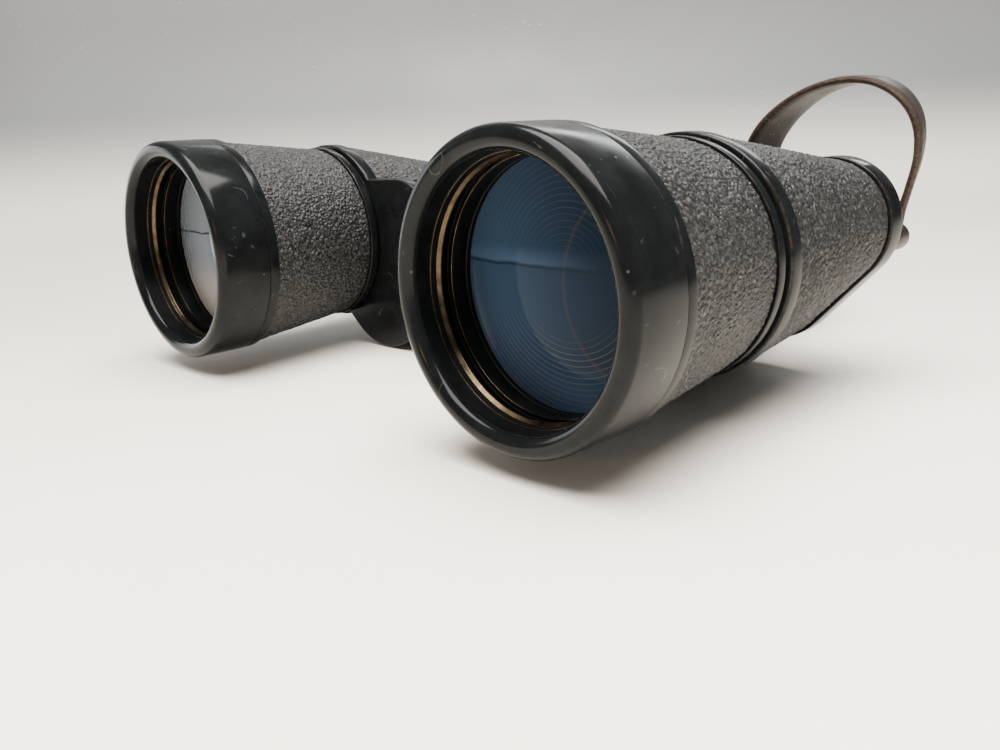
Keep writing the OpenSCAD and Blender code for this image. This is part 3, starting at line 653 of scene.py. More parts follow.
def turned(profile, x=0.0, z=0.0, steps=None, rounding=4):
    """Turned piece about an axis along Y through (x, z). The profile has (radius, y, corner rounding) in order."""
    bm = bmesh.new()
    corners = [bm.verts.new((x + r, y, z)) for r, y, _ in profile]
    bm.faces.new(corners)
    for size in sorted({p[2] for p in profile if p[2] > 0}):
        chosen = [v for v, p in zip(corners, profile) if p[2] == size]
        bmesh.ops.bevel(
            bm,
            geom=chosen,
            offset=size,
            offset_type="OFFSET",
            segments=rounding if size < 1 else rounding * 2,
            profile=0.5,
            affect="VERTICES",
            clamp_overlap=True,
            material=-1,
        )
    bmesh.ops.delete(bm, geom=list(bm.faces), context="FACES_ONLY")
    on_axis = [e for e in bm.edges if all(abs(v.co.x - x) < 1e-6 for v in e.verts)]
    bmesh.ops.delete(bm, geom=on_axis, context="EDGES")
    bmesh.ops.spin(
        bm,
        geom=bm.verts[:] + bm.edges[:],
        cent=(x, 0.0, z),
        axis=(0.0, 1.0, 0.0),
        dvec=(0.0, 0.0, 0.0),
        angle=2 * math.pi,
        steps=steps or bpy.context.scene.binocular_sizes.ring_steps,
        use_merge=True,
        use_duplicate=False,
    )
    bmesh.ops.remove_doubles(bm, verts=bm.verts[:], dist=1e-4)
    return bm


def lofted(outline, stations, steps, centre, caps=True):
    """Piece drawn along Y through outlines: outline(turns, station) gives the radii, stations are (y, inset)."""
    bm = bmesh.new()
    turn = bm.verts.layers.float.new("turn")
    ring = bmesh.ops.create_circle(bm, segments=steps, radius=1.0, cap_ends=False)["verts"]
    for v in ring:
        v[turn] = math.atan2(v.co.y, v.co.x)
    edges = list(bm.edges)
    for number, (y, inset) in enumerate(stations):
        if number:
            made = bmesh.ops.extrude_edge_only(bm, edges=edges)["geom"]
            ring = [g for g in made if isinstance(g, bmesh.types.BMVert)]
            edges = [g for g in made if isinstance(g, bmesh.types.BMEdge) and g.is_boundary]
        turns = np.array([v[turn] for v in ring])
        radii = outline(turns, number) - inset
        for v, a, r in zip(ring, turns, radii):
            v.co = (centre[0] + r * math.cos(a), y, centre[1] + r * math.sin(a))
        if caps and number in (0, len(stations) - 1):
            bmesh.ops.contextual_create(bm, geom=edges)
    return bm


def rim(y, radius, into, steps=4):
    """Stations of a rounded rim that starts (into = 1) or ends (into = -1) at y."""
    out = [
        (y + into * radius * (1 - math.cos(a)), radius * (1 - math.sin(a)))
        for a in (math.pi / 2 * k / steps for k in range(steps + 1))
    ]
    return out if into > 0 else out[::-1]


def support(circles, normals):
    """Support function of the hull of circles (x, z, radius) for unit normals."""
    return np.max([normals @ np.array(c[:2]) + c[2] for c in circles], axis=0)


NORMALS = np.array([(math.cos(a), math.sin(a)) for a in np.linspace(0, 2 * math.pi, 1440, endpoint=False)])


def reach(values, centre, turns):
    """Distance from a centre to the edge of a convex outline, given by its support values, at each angle."""
    away = np.stack([np.cos(turns), np.sin(turns)])
    facing = NORMALS @ away
    room = (values - NORMALS @ np.array(centre))[:, None]
    return np.where(facing > 0.02, room / np.maximum(facing, 0.02), np.inf).min(axis=0)


def store_edges(bm):
    """Keeps how sharply the surface turns outwards at each vertex, for the wear of the finish."""
    layer = bm.verts.layers.float.new("edge")
    bm.normal_update()
    for v in bm.verts:
        turns = [e.calc_face_angle_signed(0.0) for e in v.link_edges]
        v[layer] = min(1.0, max(turns + [0.0]) / 0.35)


def piece(bm, name, body, finishes, replaced=(), into=None, shell=True, worn=True):
    """Turns a bmesh into a finished piece that rides on its body."""
    if into is not None:
        bmesh.ops.transform(bm, matrix=into, verts=bm.verts[:])
    if shell:
        bmesh.ops.recalc_face_normals(bm, faces=bm.faces[:])
    elif into is not None and into.determinant() < 0:
        bmesh.ops.reverse_faces(bm, faces=bm.faces[:])
    for f in bm.faces:
        f.smooth = True
    for e in bm.edges:
        e.smooth = e.calc_face_angle(0.0) < math.radians(34)
    if worn:
        store_edges(bm)
    mesh = bpy.data.meshes.new(name)
    bm.to_mesh(mesh)
    bm.free()
    made = bpy.data.objects.new(name, mesh)
    bpy.context.scene.collection.objects.link(made)
    for finish in finishes:
        mesh.materials.append(finish_named(finish))
    if body is not None:
        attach(made, body)
    if replaced:
        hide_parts(*replaced)
    return made


def choose_faces(bm, index, test):
    """Gives the faces whose middle passes the test another finish."""
    for f in bm.faces:
        if test(f.calc_center_median()):
            f.material_index = index


def radius_of(point, x=0.0, z=0.0):
    return math.hypot(point.x - x, point.z - z)


# ---------------------------------------------------------------- camera and strap


class BINOCULARS_OT_camera(bpy.types.Operator):
    """Sets the camera in front of the objectives, low over the table"""

    bl_idname = "binoculars.camera"
    bl_label = "Camera"

    def execute(self, context):
        stage = context.scene.binocular_stage
        heading, pitch, roll = stage.heading, stage.pitch, stage.roll
        ahead = Vector((math.sin(heading) * math.cos(pitch), math.cos(heading) * math.cos(pitch), math.sin(pitch)))
        right = ahead.cross(Vector((0, 0, 1))).normalized()
        above = right.cross(ahead)
        side = right * math.cos(roll) + above * math.sin(roll)
        top = above * math.cos(roll) - right * math.sin(roll)
        lens = bpy.data.cameras.new("camera")
        lens.lens = stage.focal_length
        lens.sensor_width = 36.0
        lens.clip_start = 0.005
        made = bpy.data.objects.new("camera", lens)
        context.scene.collection.objects.link(made)
        turned_to = Matrix((side, top, -ahead)).transposed().to_4x4()
        made.matrix_world = Matrix.Translation(Vector(stage.camera_at)) @ turned_to
        context.scene.camera = made
        return {"FINISHED"}


# The strap's route: x, y, z in millimetres, the heading of its width in plan, and its turn on edge, in degrees.
NEAR_ROUTE = [
    (89, 28, 36.4, 112, 0), (89.6, 28, 40.6, 112, 0), (91, 28, 46, 111, 0),
    (92.4, 28, 52, 109, 0), (92.4, 28, 58, 105, 0), (90.6, 28, 63, 100, 0),
    (87, 28, 67, 95, 0), (82, 28, 69.6, 90, 0), (76.5, 28, 70.3, 85, 0),
    (71, 28, 69.5, 80, 0), (65.6, 28, 67.6, 74, 0), (60.8, 28, 64.8, 69, 0),
    (56.4, 28, 61, 64, 0), (53.2, 28, 56.5, 60, 0), (51.6, 28.5, 51.5, 58, 0),
    (51, 29, 46, 56, 0), (50.9, 29.5, 41, 56, 0), (50.8, 30, 36, 58, 0),
    (50.5, 31, 31, 60, 0), (50, 32, 26, 62, 0), (49, 33.5, 21, 66, 0),
    (47.4, 35, 16, 70, 0), (44.8, 37, 11.4, 74, 0), (41.2, 39, 7.2, 78, 0),
    (36.6, 41, 3.8, 82, 0), (31, 42.5, 1.8, 86, 0), (25, 43.4, 1.1, 88, 0),
    (18, 44, 1, 90, 0), (10, 44.2, 1, 90, 0), (2, 44.2, 1, 90, 0),
    (-6, 44, 1, 90, 0), (-14, 43.6, 1, 90, 0), (-22, 43, 1, 90, 0),
    (-30, 42.2, 1, 92, 0), (-37, 41.4, 1.6, 94, 15), (-42, 40.6, 3.4, 95, 42),
    (-47, 39.8, 4.8, 96, 70), (-52, 39.2, 5.1, 94, 90), (-57, 38.8, 5.1, 92, 90),
]
FAR_ROUTE = [
    (-99.1, 62, 5.1, 0, 90), (-99.1, 58, 5.1, 0, 90), (-98.8, 54, 5, 0, 80),
    (-98.2, 50, 4, 0, 50), (-97.4, 46, 2.6, 0, 20), (-96.6, 42, 2.6, 0, 0),
    (-96.1, 38.4, 3.2, 0, 0), (-95.7, 35.4, 4.6, 8, 0), (-95.2, 32.6, 7.2, 24, 0),
    (-94.6, 30.6, 11, 46, 0), (-93, 29.2, 15.4, 66, 0), (-91.4, 28.4, 20, 80, 0),
    (-90, 28, 25, 88, 0), (-89, 28, 30, 90, 0),
]
ROLL_AT = (-68.0, 69.0)
ROLL_PITCH = 8.0
ROLL_CORE = 8.2
ROLL_HEIGHT = 5.1
LOOP_AT = (20.5, -1.0)


def rolled_up():
    """The doubled middle of the strap: in clockwise, round the core, and out again between its own turns."""
    def spiral(first_radius, first_angle):
        turns = (first_radius - ROLL_CORE) / ROLL_PITCH
        count = round(turns * 26)
        return [
            (first_radius - ROLL_PITCH * turns * k / count, first_angle - 360 * turns * k / count)
            for k in range(count + 1)
        ]

    def place(radius, angle):
        a = math.radians(angle)
        return (ROLL_AT[0] + radius * math.cos(a), ROLL_AT[1] + radius * math.sin(a), ROLL_HEIGHT, 0, 90)

    inward = spiral(29.0, -90.0)
    outward = spiral(31.0, 180.0)[::-1]
    core = math.radians(inward[-1][1])
    middle = []
    for half, start in ((1, core), (-1, core)):
        cx = ROLL_AT[0] + half * ROLL_CORE / 2 * math.cos(core)
        cy = ROLL_AT[1] + half * ROLL_CORE / 2 * math.sin(core)
        for k in range(1, 8):
            a = start - math.pi * k / 8 if half > 0 else start + math.pi * k / 8
            middle.append(
                (cx + ROLL_CORE / 2 * math.cos(a), cy + ROLL_CORE / 2 * math.sin(a), ROLL_HEIGHT, 0, 90)
            )
        if half > 0:
            middle.append((*ROLL_AT, ROLL_HEIGHT, 0, 90))
    return [place(r, a) for r, a in inward] + middle + [place(r, a) for r, a in outward]


def smooth_route(points, parts=3):
    """Points of a smooth curve through the route's points, with the strap's width at each."""
    places = [Vector(p[:3]) * MM for p in points]
    widths = []
    for _, _, _, heading, tilt in points:
        h, e = math.radians(heading), math.radians(tilt)
        widths.append(Vector((math.cos(h) * math.cos(e), math.sin(h) * math.cos(e), math.sin(e))))
    out = []
    for i in range(len(places) - 1):
        a, b, c, d = (places[max(0, min(len(places) - 1, i + k))] for k in (-1, 0, 1, 2))
        for k in range(parts):
            s = k / parts
            spot = 0.5 * (2 * b + (c - a) * s + (2 * a - 5 * b + 4 * c - d) * s * s + (3 * b - 3 * c + d - a) * s**3)
            out.append((spot, widths[i].lerp(widths[i + 1], s).normalized()))
    out.append((places[-1], widths[-1]))
    return out


def strap_band(stations, width, thickness):
    """Flat strap with rounded edges, swept through stations of place and width direction."""
    bm = bmesh.new()
    rubbed = bm.verts.layers.float.new("rubbed")
    w, t, e = width / 2, thickness / 2, thickness / 2.2
    section = [(w, 0, 0.9), (w - 0.3 * e, 0.7 * t, 0.8), (w - e, t, 0.35), (0.5 * w, 1.0 * t, 0.12), (0, 1.0 * t, 0.1),
               (-0.5 * w, 1.0 * t, 0.12), (e - w, t, 0.35), (0.3 * e - w, 0.7 * t, 0.8)]
    section += [(-a, -b, c) for a, b, c in section]
    rings = []
    for i, (spot, across) in enumerate(stations):
        ahead = (stations[min(i + 1, len(stations) - 1)][0] - stations[max(i - 1, 0)][0]).normalized()
        across = (across - ahead * across.dot(ahead)).normalized()
        up = ahead.cross(across)
        bend = 0.25 * max(0.0, noise.noise(spot * 60)) + 0.12
        ring = []
        for a, b, c in section:
            v = bm.verts.new(spot + across * a + up * b)
            v[rubbed] = min(1.0, c + bend)
            ring.append(v)
        rings.append(ring)
    for one, other in zip(rings, rings[1:]):
        for k in range(len(section)):
            after = (k + 1) % len(section)
            bm.faces.new((one[k], one[after], other[after], other[k]))
    bm.faces.new(rings[0][::-1])
    bm.faces.new(rings[-1])
    return bm


class BINOCULARS_OT_strap(bpy.types.Operator):
    """Makes the neck strap, from the right lug through its roll to the left lug, and its two sewn loops"""

    bl_idname = "binoculars.strap"
    bl_label = "Neck strap"

    def execute(self, context):
        sizes = context.scene.binocular_sizes
        route = NEAR_ROUTE + rolled_up() + FAR_ROUTE
        stations = smooth_route(route)
        band = piece(
            strap_band(stations, sizes.strap_width, sizes.strap_thickness),
            "neck_strap", None, ["strap"],
        )
        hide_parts("strap_near", "strap_roll", "strap_far", "strap_fall")
        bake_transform(band)
        loop_low, loop_high = local_y("strap_loop_R", 0), local_y("strap_loop_R", 1)
        thickness = sizes.strap_thickness / MM
        inner = 1.5
        for side, word, sign in SIDES:
            bm = turned(
                [
                    (inner, loop_low, 0.3), (inner + thickness, loop_low, 0.6),
                    (inner + thickness, loop_high, 0.6), (inner, loop_high, 0.3),
                ],
                *LOOP_AT, steps=48,
            )
            layer = bm.verts.layers.float.new("rubbed")
            for v in bm.verts:
                v[layer] = 0.45
            piece(bm, f"strap_loop_{word}", f"{word}_half", ["strap"],
                      [f"strap_loop_{side}"], half_frame(sign))
        return {"FINISHED"}


# ---------------------------------------------------------------- objectives


class BINOCULARS_OT_objectives(bpy.types.Operator):
    """Makes the objective rings, lens cells, retaining rings and lenses"""

    bl_idname = "binoculars.objectives"
    bl_label = "Objectives"

    def execute(self, context):
        lip = context.scene.binocular_sizes.lip_rounding
        seam = local_y("objective_ring_R", 1)
        lens_low, lens_high = (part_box("objective_lens_R")[k] for k in (0, 1))
        lens_r = (lens_high.x - lens_low.x) / 2 / MM
        vertex, lens_back = local_y("objective_lens_R", 0), local_y("objective_lens_R", 1)
        cell_back = local_y("lens_cell_R", 1)
        lens_edge = local_y("lens_retainer_R", 1)
        cell_front = local_y("lens_cell_R", 0)
        for side, word, sign in SIDES:
            body, into = f"{word}_half", half_frame(sign)
            brass = "brass" if side == "R" else "brass left"
            ring = turned([
                (RING_R, 0.0, lip), (25.4, 0.0, lip), (25.4, 5.5, 0.1), (25.1, 5.5, 0.1),
                (25.1, 5.75, 0.05), (24.95, 6.9, 0.05), (24.35, 7.6, 0.15), (24.35, 8.0, 0.15),
                (26.6, 8.0, 0.0), (26.6, seam - 0.02, 0.0), (28.9, seam - 0.02, 0.0), (28.9, seam - 0.1, 0.0),
                (RING_R, seam - 0.1, 0.1),
            ])
            choose_faces(ring, 1, lambda c: radius_of(c) < 26.0 and c.y > 2.6)
            choose_faces(ring, 1, lambda c: c.y > seam - 0.099)
            choose_faces(ring, 2, lambda c: radius_of(c) < 25.2 and (5.4 < c.y < 5.8 or 6.8 < c.y < 7.9))
            piece(ring, f"objective_ring_{word}", body, ["enamel", "matt", brass],
                  [f"objective_ring_{side}"], into)
            retainer = turned([
                (lens_r - 0.75, cell_front + 0.4, 0.12), (lens_r - 0.05, cell_front + 0.4, 0.1),
                (lens_r - 0.05, lens_edge - 0.02, 0.0), (lens_r - 0.75, lens_edge - 0.02, 0.12),
                (lens_r - 0.75, lens_edge - 1.0, 0.06), (lens_r - 0.5, lens_edge - 1.15, 0.06),
                (lens_r - 0.5, lens_edge - 1.5, 0.06), (lens_r - 0.75, lens_edge - 1.65, 0.06),
            ])
            choose_faces(retainer, 1, lambda c: c.y > cell_front + 1.2)
            choose_faces(retainer, 0, lambda c: c.y > lens_edge - 0.5)
            piece(retainer, f"retaining_ring_{word}", body, [brass, "matt"],
                  [f"lens_retainer_{side}"], into)
            cell = turned([
                (lens_r, cell_front, 0.1), (26.15, cell_front, 0.1), (26.15, cell_back, 0.1),
                (lens_r - 1, cell_back, 0.0), (lens_r - 1, lens_back + 0.02, 0.0), (lens_r, lens_back + 0.02, 0.0),
            ])
            piece(cell, f"lens_cell_{word}", body, ["matt"], [f"lens_cell_{side}"], into)
            sag = lens_edge - vertex
            steps = 20
            front = [((lens_r - 0.8) * k / steps, vertex + sag * (k / steps) ** 2, 0.0) for k in range(steps + 1)]
            lens = turned(front + [
                (lens_r - 0.05, lens_edge + 0.02, 0.05), (lens_r - 0.05, lens_back, 0.2), (0.0, lens_back, 0.0),
            ])
            piece(lens, f"objective_lens_{word}", body, [f"lens {side}"],
                  [f"objective_lens_{side}"], into)
        return {"FINISHED"}


# ---------------------------------------------------------------- coverings


def pebbled(bm, seed, fade):
    """Raises the covering's pebbles out of a dense sheet and keeps their height for the finish."""
    sizes = bpy.context.scene.binocular_sizes
    layer = bm.verts.layers.float.new("pebble")
    bm.normal_update()
    shift = Vector((seed * 17.3, seed * 5.1, seed * 9.7))
    moved = []
    for v in bm.verts:
        spot = v.co / sizes.pebble_size + shift
        spot += 0.55 * noise.noise_vector(spot * 0.8) + 0.25 * noise.noise_vector(spot * 2.1)
        near = noise.voronoi(spot)[0]
        valley = min(1.0, (near[1] - near[0]) / 0.42)
        top = valley * valley * (3 - 2 * valley) * (1.0 - 0.45 * near[0])
        top += 0.22 * noise.noise(spot * 2.6)
        top = max(0.0, min(1.0, top)) * fade(v.co)
        v[layer] = top
        moved.append(v.co + v.normal * (top - 0.75) * sizes.pebble_height)
    for v, spot in zip(bm.verts, moved):
        v.co = spot


TUBE_STEPS = 600


class BINOCULARS_OT_tubes(bpy.types.Operator):
    """Makes the tapering objective tubes with their bands, and their pebbled covering"""

    bl_idname = "binoculars.tubes"
    bl_label = "Objective tubes"

    def execute(self, context):
        seam = local_y("objective_ring_R", 1)
        front, back = local_y("tube_covering_R", 0), local_y("tube_covering_R", 1)
        low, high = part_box("tube_covering_R")
        front_r = (high.x - low.x) / 2 / MM
        cover_y = local_y("front_cover_R", 0)
        back_r = front_r - 3.9
        band_end = back + 2.3
        skin = self.covering(front, back, front_r, back_r)
        for side, word, sign in SIDES:
            body, into = f"{word}_half", half_frame(sign)
            tube = turned([
                (29.9, seam + 0.12, 0.1), (29.9, front, 0.25), (front_r - 0.9, front, 0.0),
                (back_r - 0.9, back, 0.0), (back_r + 0.5, back, 0.25), (back_r + 0.5, band_end, 0.25),
                (back_r - 0.5, band_end, 0.0), (back_r - 0.5, cover_y, 0.0), (22.0, cover_y, 0.0),
                (22.0, cover_y + 5.2, 0.0), (20.0, cover_y + 5.2, 0.0), (20.0, band_end, 0.0),
                (24.15, 25.6, 0.0), (26.2, 25.6, 0.0), (26.2, 8.05, 0.0), (26.55, 8.05, 0.0), (26.55, seam + 0.02, 0.0),
                (28.9, seam + 0.02, 0.0), (28.9, seam + 0.12, 0.0),
            ])
            choose_faces(tube, 1, lambda c: radius_of(c) < 24.9 or c.y < seam + 0.11 or c.y < 26 and radius_of(c) < 26.3)
            piece(tube, f"objective_tube_{word}", body, ["enamel", "matt"],
                  [f"objective_tube_{side}"], into)
            piece(skin.copy(), f"tube_covering_{word}", body, ["leatherette"],
                  [f"tube_covering_{side}"], into, shell=False, worn=False)
        skin.free()
        return {"FINISHED"}

    def covering(self, front, back, front_r, back_r):
        """Pebbled sheet round one tapering tube, for both sides"""
        skin = bmesh.new()
        rows = 108
        line = [skin.verts.new((front_r - 1.0, front + 0.03, 0.0))]
        for k in range(rows + 1):
            s = k / rows
            line.append(skin.verts.new((front_r + (back_r - front_r) * s, front + 0.05 + (back - front - 0.1) * s, 0.0)))
        line.append(skin.verts.new((back_r - 1.0, back - 0.03, 0.0)))
        for a, b in zip(line, line[1:]):
            skin.edges.new((a, b))
        bmesh.ops.spin(
            skin, geom=skin.verts[:] + skin.edges[:], cent=(0, 0, 0), axis=(0, 1, 0), dvec=(0, 0, 0),
            angle=2 * math.pi, steps=TUBE_STEPS, use_merge=True, use_duplicate=False,
        )
        skin.normal_update()
        skin.faces.ensure_lookup_table()
        some = skin.faces[0]
        if some.normal.dot(Vector((some.calc_center_median().x, 0, some.calc_center_median().z))) < 0:
            bmesh.ops.reverse_faces(skin, faces=skin.faces[:])

        def fade(co, front=front, back=back):
            return max(0.0, min(1.0, (co.y - front - 0.1) / 0.6, (back - 0.1 - co.y) / 0.6))

        pebbled(skin, 1, fade)
        return skin


# Circles (x, z, radius) whose hulls give the housing's outlines.
FRONT_DISC = (0.0, 0.0, (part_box("front_cover_R")[1].x - OBJECTIVE_X) / MM)
OUTER_CIRCLES = [(11.4, 3.5, 15.4), (-2.6, -10.1, 16.0), (-24.0, -13.0, 21.3), (-34.0, 0.0, 16.3)]
INNER_CIRCLES = [(0.0, 0.0, 16.0), (-24.0, -13.0, 21.3), (-34.0, 0.0, 16.3)]
HOUSING_CENTRE = (-14.0, -3.0)
HOUSING_STEPS = 620


def drawn_in(circles, by, lobes_by=0.0):
    return [(x, z, r - by - (lobes_by if k >= 2 else 0.0)) for k, (x, z, r) in enumerate(circles)]


class BINOCULARS_OT_housings(bpy.types.Operator):
    """Makes the front covers, the housings' pebbled covering and the rear covers"""

    bl_idname = "binoculars.housings"
    bl_label = "Prism housings"

    def execute(self, context):
        cover_y, cover_end = local_y("front_cover_R", 0), local_y("front_cover_R", 1)
        skin_y, skin_end = local_y("housing_covering_R", 0), local_y("housing_covering_R", 1)
        rear_y, rear_end = local_y("rear_cover_R", 0), local_y("rear_cover_R", 1)
        inner = support(INNER_CIRCLES, NORMALS)
        disc = support([FRONT_DISC], NORMALS)
        outer = support(OUTER_CIRCLES, NORMALS)

        def front_outline(turns, station):
            return np.maximum(reach(disc, HOUSING_CENTRE, turns), reach(inner, HOUSING_CENTRE, turns))

        def rear_outline(turns, station):
            return reach(outer, HOUSING_CENTRE, turns)

        rows = 118
        skin_stations = [(skin_y + 0.02, 1.0)] + [
            (skin_y + 0.03 + (skin_end - skin_y - 0.06) * k / rows, 0.0) for k in range(rows + 1)
        ] + [(skin_end - 0.02, 1.0)]
        start = support([drawn_in([FRONT_DISC], 0.5)[0]], NORMALS)
        finish = support(drawn_in(OUTER_CIRCLES, 0.5, 1.0), NORMALS)
        lobes = support(drawn_in(INNER_CIRCLES, 0.5), NORMALS)

        def skin_outline(turns, station):
            share = (skin_stations[station][0] - skin_y - 1) / (skin_end - skin_y - 2)
            share = min(1.0, max(0.0, share))
            body = reach((1 - share) * start + share * finish, HOUSING_CENTRE, turns)
            return np.maximum(body, reach(lobes, HOUSING_CENTRE, turns))

        skin = lofted(skin_outline, skin_stations, HOUSING_STEPS, HOUSING_CENTRE, caps=False)
        bmesh.ops.delete(
            skin,
            geom=[f for f in skin.faces if f.calc_center_median().x < -34 and f.calc_center_median().z > -1.7],
            context="FACES",
        )
        skin.normal_update()
        skin.faces.ensure_lookup_table()
        some = skin.faces[len(skin.faces) // 2]
        middle = some.calc_center_median()
        if some.normal.dot(Vector((middle.x - HOUSING_CENTRE[0], 0, middle.z - HOUSING_CENTRE[1]))) < 0:
            bmesh.ops.reverse_faces(skin, faces=skin.faces[:])

        def fade(co):
            at_window = max(-33.4 - co.x, 0.0) if co.z > -2.3 else 0.0
            return max(0.0, min(1.0, (co.y - skin_y - 0.1) / 0.6, (skin_end - 0.1 - co.y) / 0.6, 1.0 - at_window))

        pebbled(skin, 4, fade)

        for side, word, sign in SIDES:
            body, into = f"{word}_half", half_frame(sign)
            front = lofted(front_outline, rim(cover_y, 0.7, 1) + rim(cover_end, 0.35, -1), 420, HOUSING_CENTRE)
            piece(front, f"front_cover_{word}", body, ["enamel"], [f"front_cover_{side}"], into)
            groove = [(rear_y, 0.9), (rear_y + 0.5, 0.9)]
            rear = lofted(rear_outline, groove + rim(rear_y + 0.55, 0.5, 1) + rim(rear_end, 1.5, -1, 6), 420, HOUSING_CENTRE)
            choose_faces(rear, 1, lambda c: c.y < rear_y + 0.52)
            piece(rear, f"rear_cover_{word}", body, ["enamel", "matt"], [f"rear_cover_{side}"], into)

            piece(skin.copy(), f"housing_covering_{word}", body, ["leatherette"],
                  [f"housing_covering_{side}"], into, shell=False, worn=False)
        skin.free()
        return {"FINISHED"}


# ---------------------------------------------------------------- hinge, focus and eyepieces


def softened(node, name, body, finish, width=0.4):
    """The CAD node's own shape with its corners rounded."""
    bm = bmesh.new()
    bm.from_mesh(frame["nodes"][node].data)
    bmesh.ops.remove_doubles(bm, verts=bm.verts[:], dist=2e-6)
    bmesh.ops.dissolve_limit(bm, angle_limit=math.radians(0.6), verts=bm.verts[:], edges=bm.edges[:])
    sharp = [e for e in bm.edges if e.calc_face_angle(0.0) > math.radians(40)]
    bmesh.ops.bevel(
        bm, geom=sharp, offset=width * MM, offset_type="OFFSET", segments=2, profile=0.5,
        affect="EDGES", clamp_overlap=True, material=-1,
    )
    return piece(bm, name, body, [finish], [node])


class BINOCULARS_OT_hinge(bpy.types.Operator):
    """Makes the hinge arms, the sleeve between the knuckles, the tapped bush and the bridge arms"""

    bl_idname = "binoculars.hinge"
    bl_label = "Hinge"

    def execute(self, context):
        for side, word, sign in SIDES:
            softened(f"hinge_arms_{side}", f"hinge_arms_{word}", f"{word}_half", "enamel", 0.5)
            softened(f"bridge_arm_{side}", f"bridge_arm_{word}", f"{word}_eyepiece", "enamel", 0.5)
        place = half_frame(1)
        sleeve = [local_y("hinge_sleeve", k) for k in (0, 1)]
        piece(turned([(6.06, sleeve[0], 0.0), (9.0, sleeve[0], 0.35), (9.0, sleeve[1], 0.35), (6.06, sleeve[1], 0.0)], *HINGE_AT),
              "hinge_sleeve_ring", "right_half", ["enamel"], ["hinge_sleeve"], place)
        front, back = local_y("tripod_bush", 0), local_y("tripod_bush", 1)
        flange = local_y("hinge_axle", 0) - 0.02
        piece(turned([
            (3.18, front, 0.3), (9.0, front, 0.9), (9.0, flange, 0.3), (4.45, flange, 0.0),
            (4.45, back, 0.2), (3.18, back, 0.2),
        ], *HINGE_AT), "tripod_bush_ring", "right_half", ["satin"], ["tripod_bush"], place)
        return {"FINISHED"}


def ribbed_piece(centre, radius, bore, ends, ribs, depth, margin):
    """Turned ring with rounded ribs along it, between plain rims."""
    low, high = ends
    steps = ribs * 10

    def outline(turns, station):
        plain = station in (0, 1, 2, len(stations) - 1, len(stations) - 2, len(stations) - 3)
        wave = 0.0 if plain else depth * (1 - np.abs(np.cos(turns * ribs / 2)) ** 0.6)
        return radius - wave + 0.0 * turns

    stations = rim(low, 0.4, 1, 2) + [(low + margin, 0.0), (low + margin + 0.4, 0.0)]
    stations += [(high - margin - 0.4, 0.0), (high - margin, 0.0)] + rim(high, 0.4, -1, 2)
    stations = [s for s in stations]
    bm = lofted(outline, stations, steps, centre, caps=False)
    for y in (low, high):
        loop = [e for e in bm.edges if e.is_boundary and abs(e.verts[0].co.y - y) < 1e-4]
        made = bmesh.ops.extrude_edge_only(bm, edges=loop)["geom"]
        for v in (g for g in made if isinstance(g, bmesh.types.BMVert)):
            a = math.atan2(v.co.z - centre[1], v.co.x - centre[0])
            v.co = (centre[0] + bore * math.cos(a), y, centre[1] + bore * math.sin(a))
    loops = [e for e in bm.edges if e.is_boundary]
    bmesh.ops.bridge_loops(bm, edges=loops)
    return bm


class BINOCULARS_OT_focus(bpy.types.Operator):
    """Makes the ribbed focus wheel and the nut behind the bridge"""

    bl_idname = "binoculars.focus"
    bl_label = "Focus"

    def execute(self, context):
        place = half_frame(1)
        wheel = [local_y("focus_wheel", k) for k in (0, 1)]
        piece(ribbed_piece(HINGE_AT, 11.5, 3.06, wheel, 36, 0.55, 1.1), "focus_wheel_ribbed", "focus_wheel",
              ["satin"], ["focus_wheel"], place)
        nut = [local_y("bridge_nut", k) for k in (0, 1)]
        piece(turned([(3.04, nut[0], 0.0), (6.0, nut[0], 0.3), (6.0, nut[1], 0.8), (3.04, nut[1], 0.3)], *HINGE_AT),
              "bridge_nut_ring", "right_eyepiece", ["steel"], ["bridge_nut"], place)
        return {"FINISHED"}


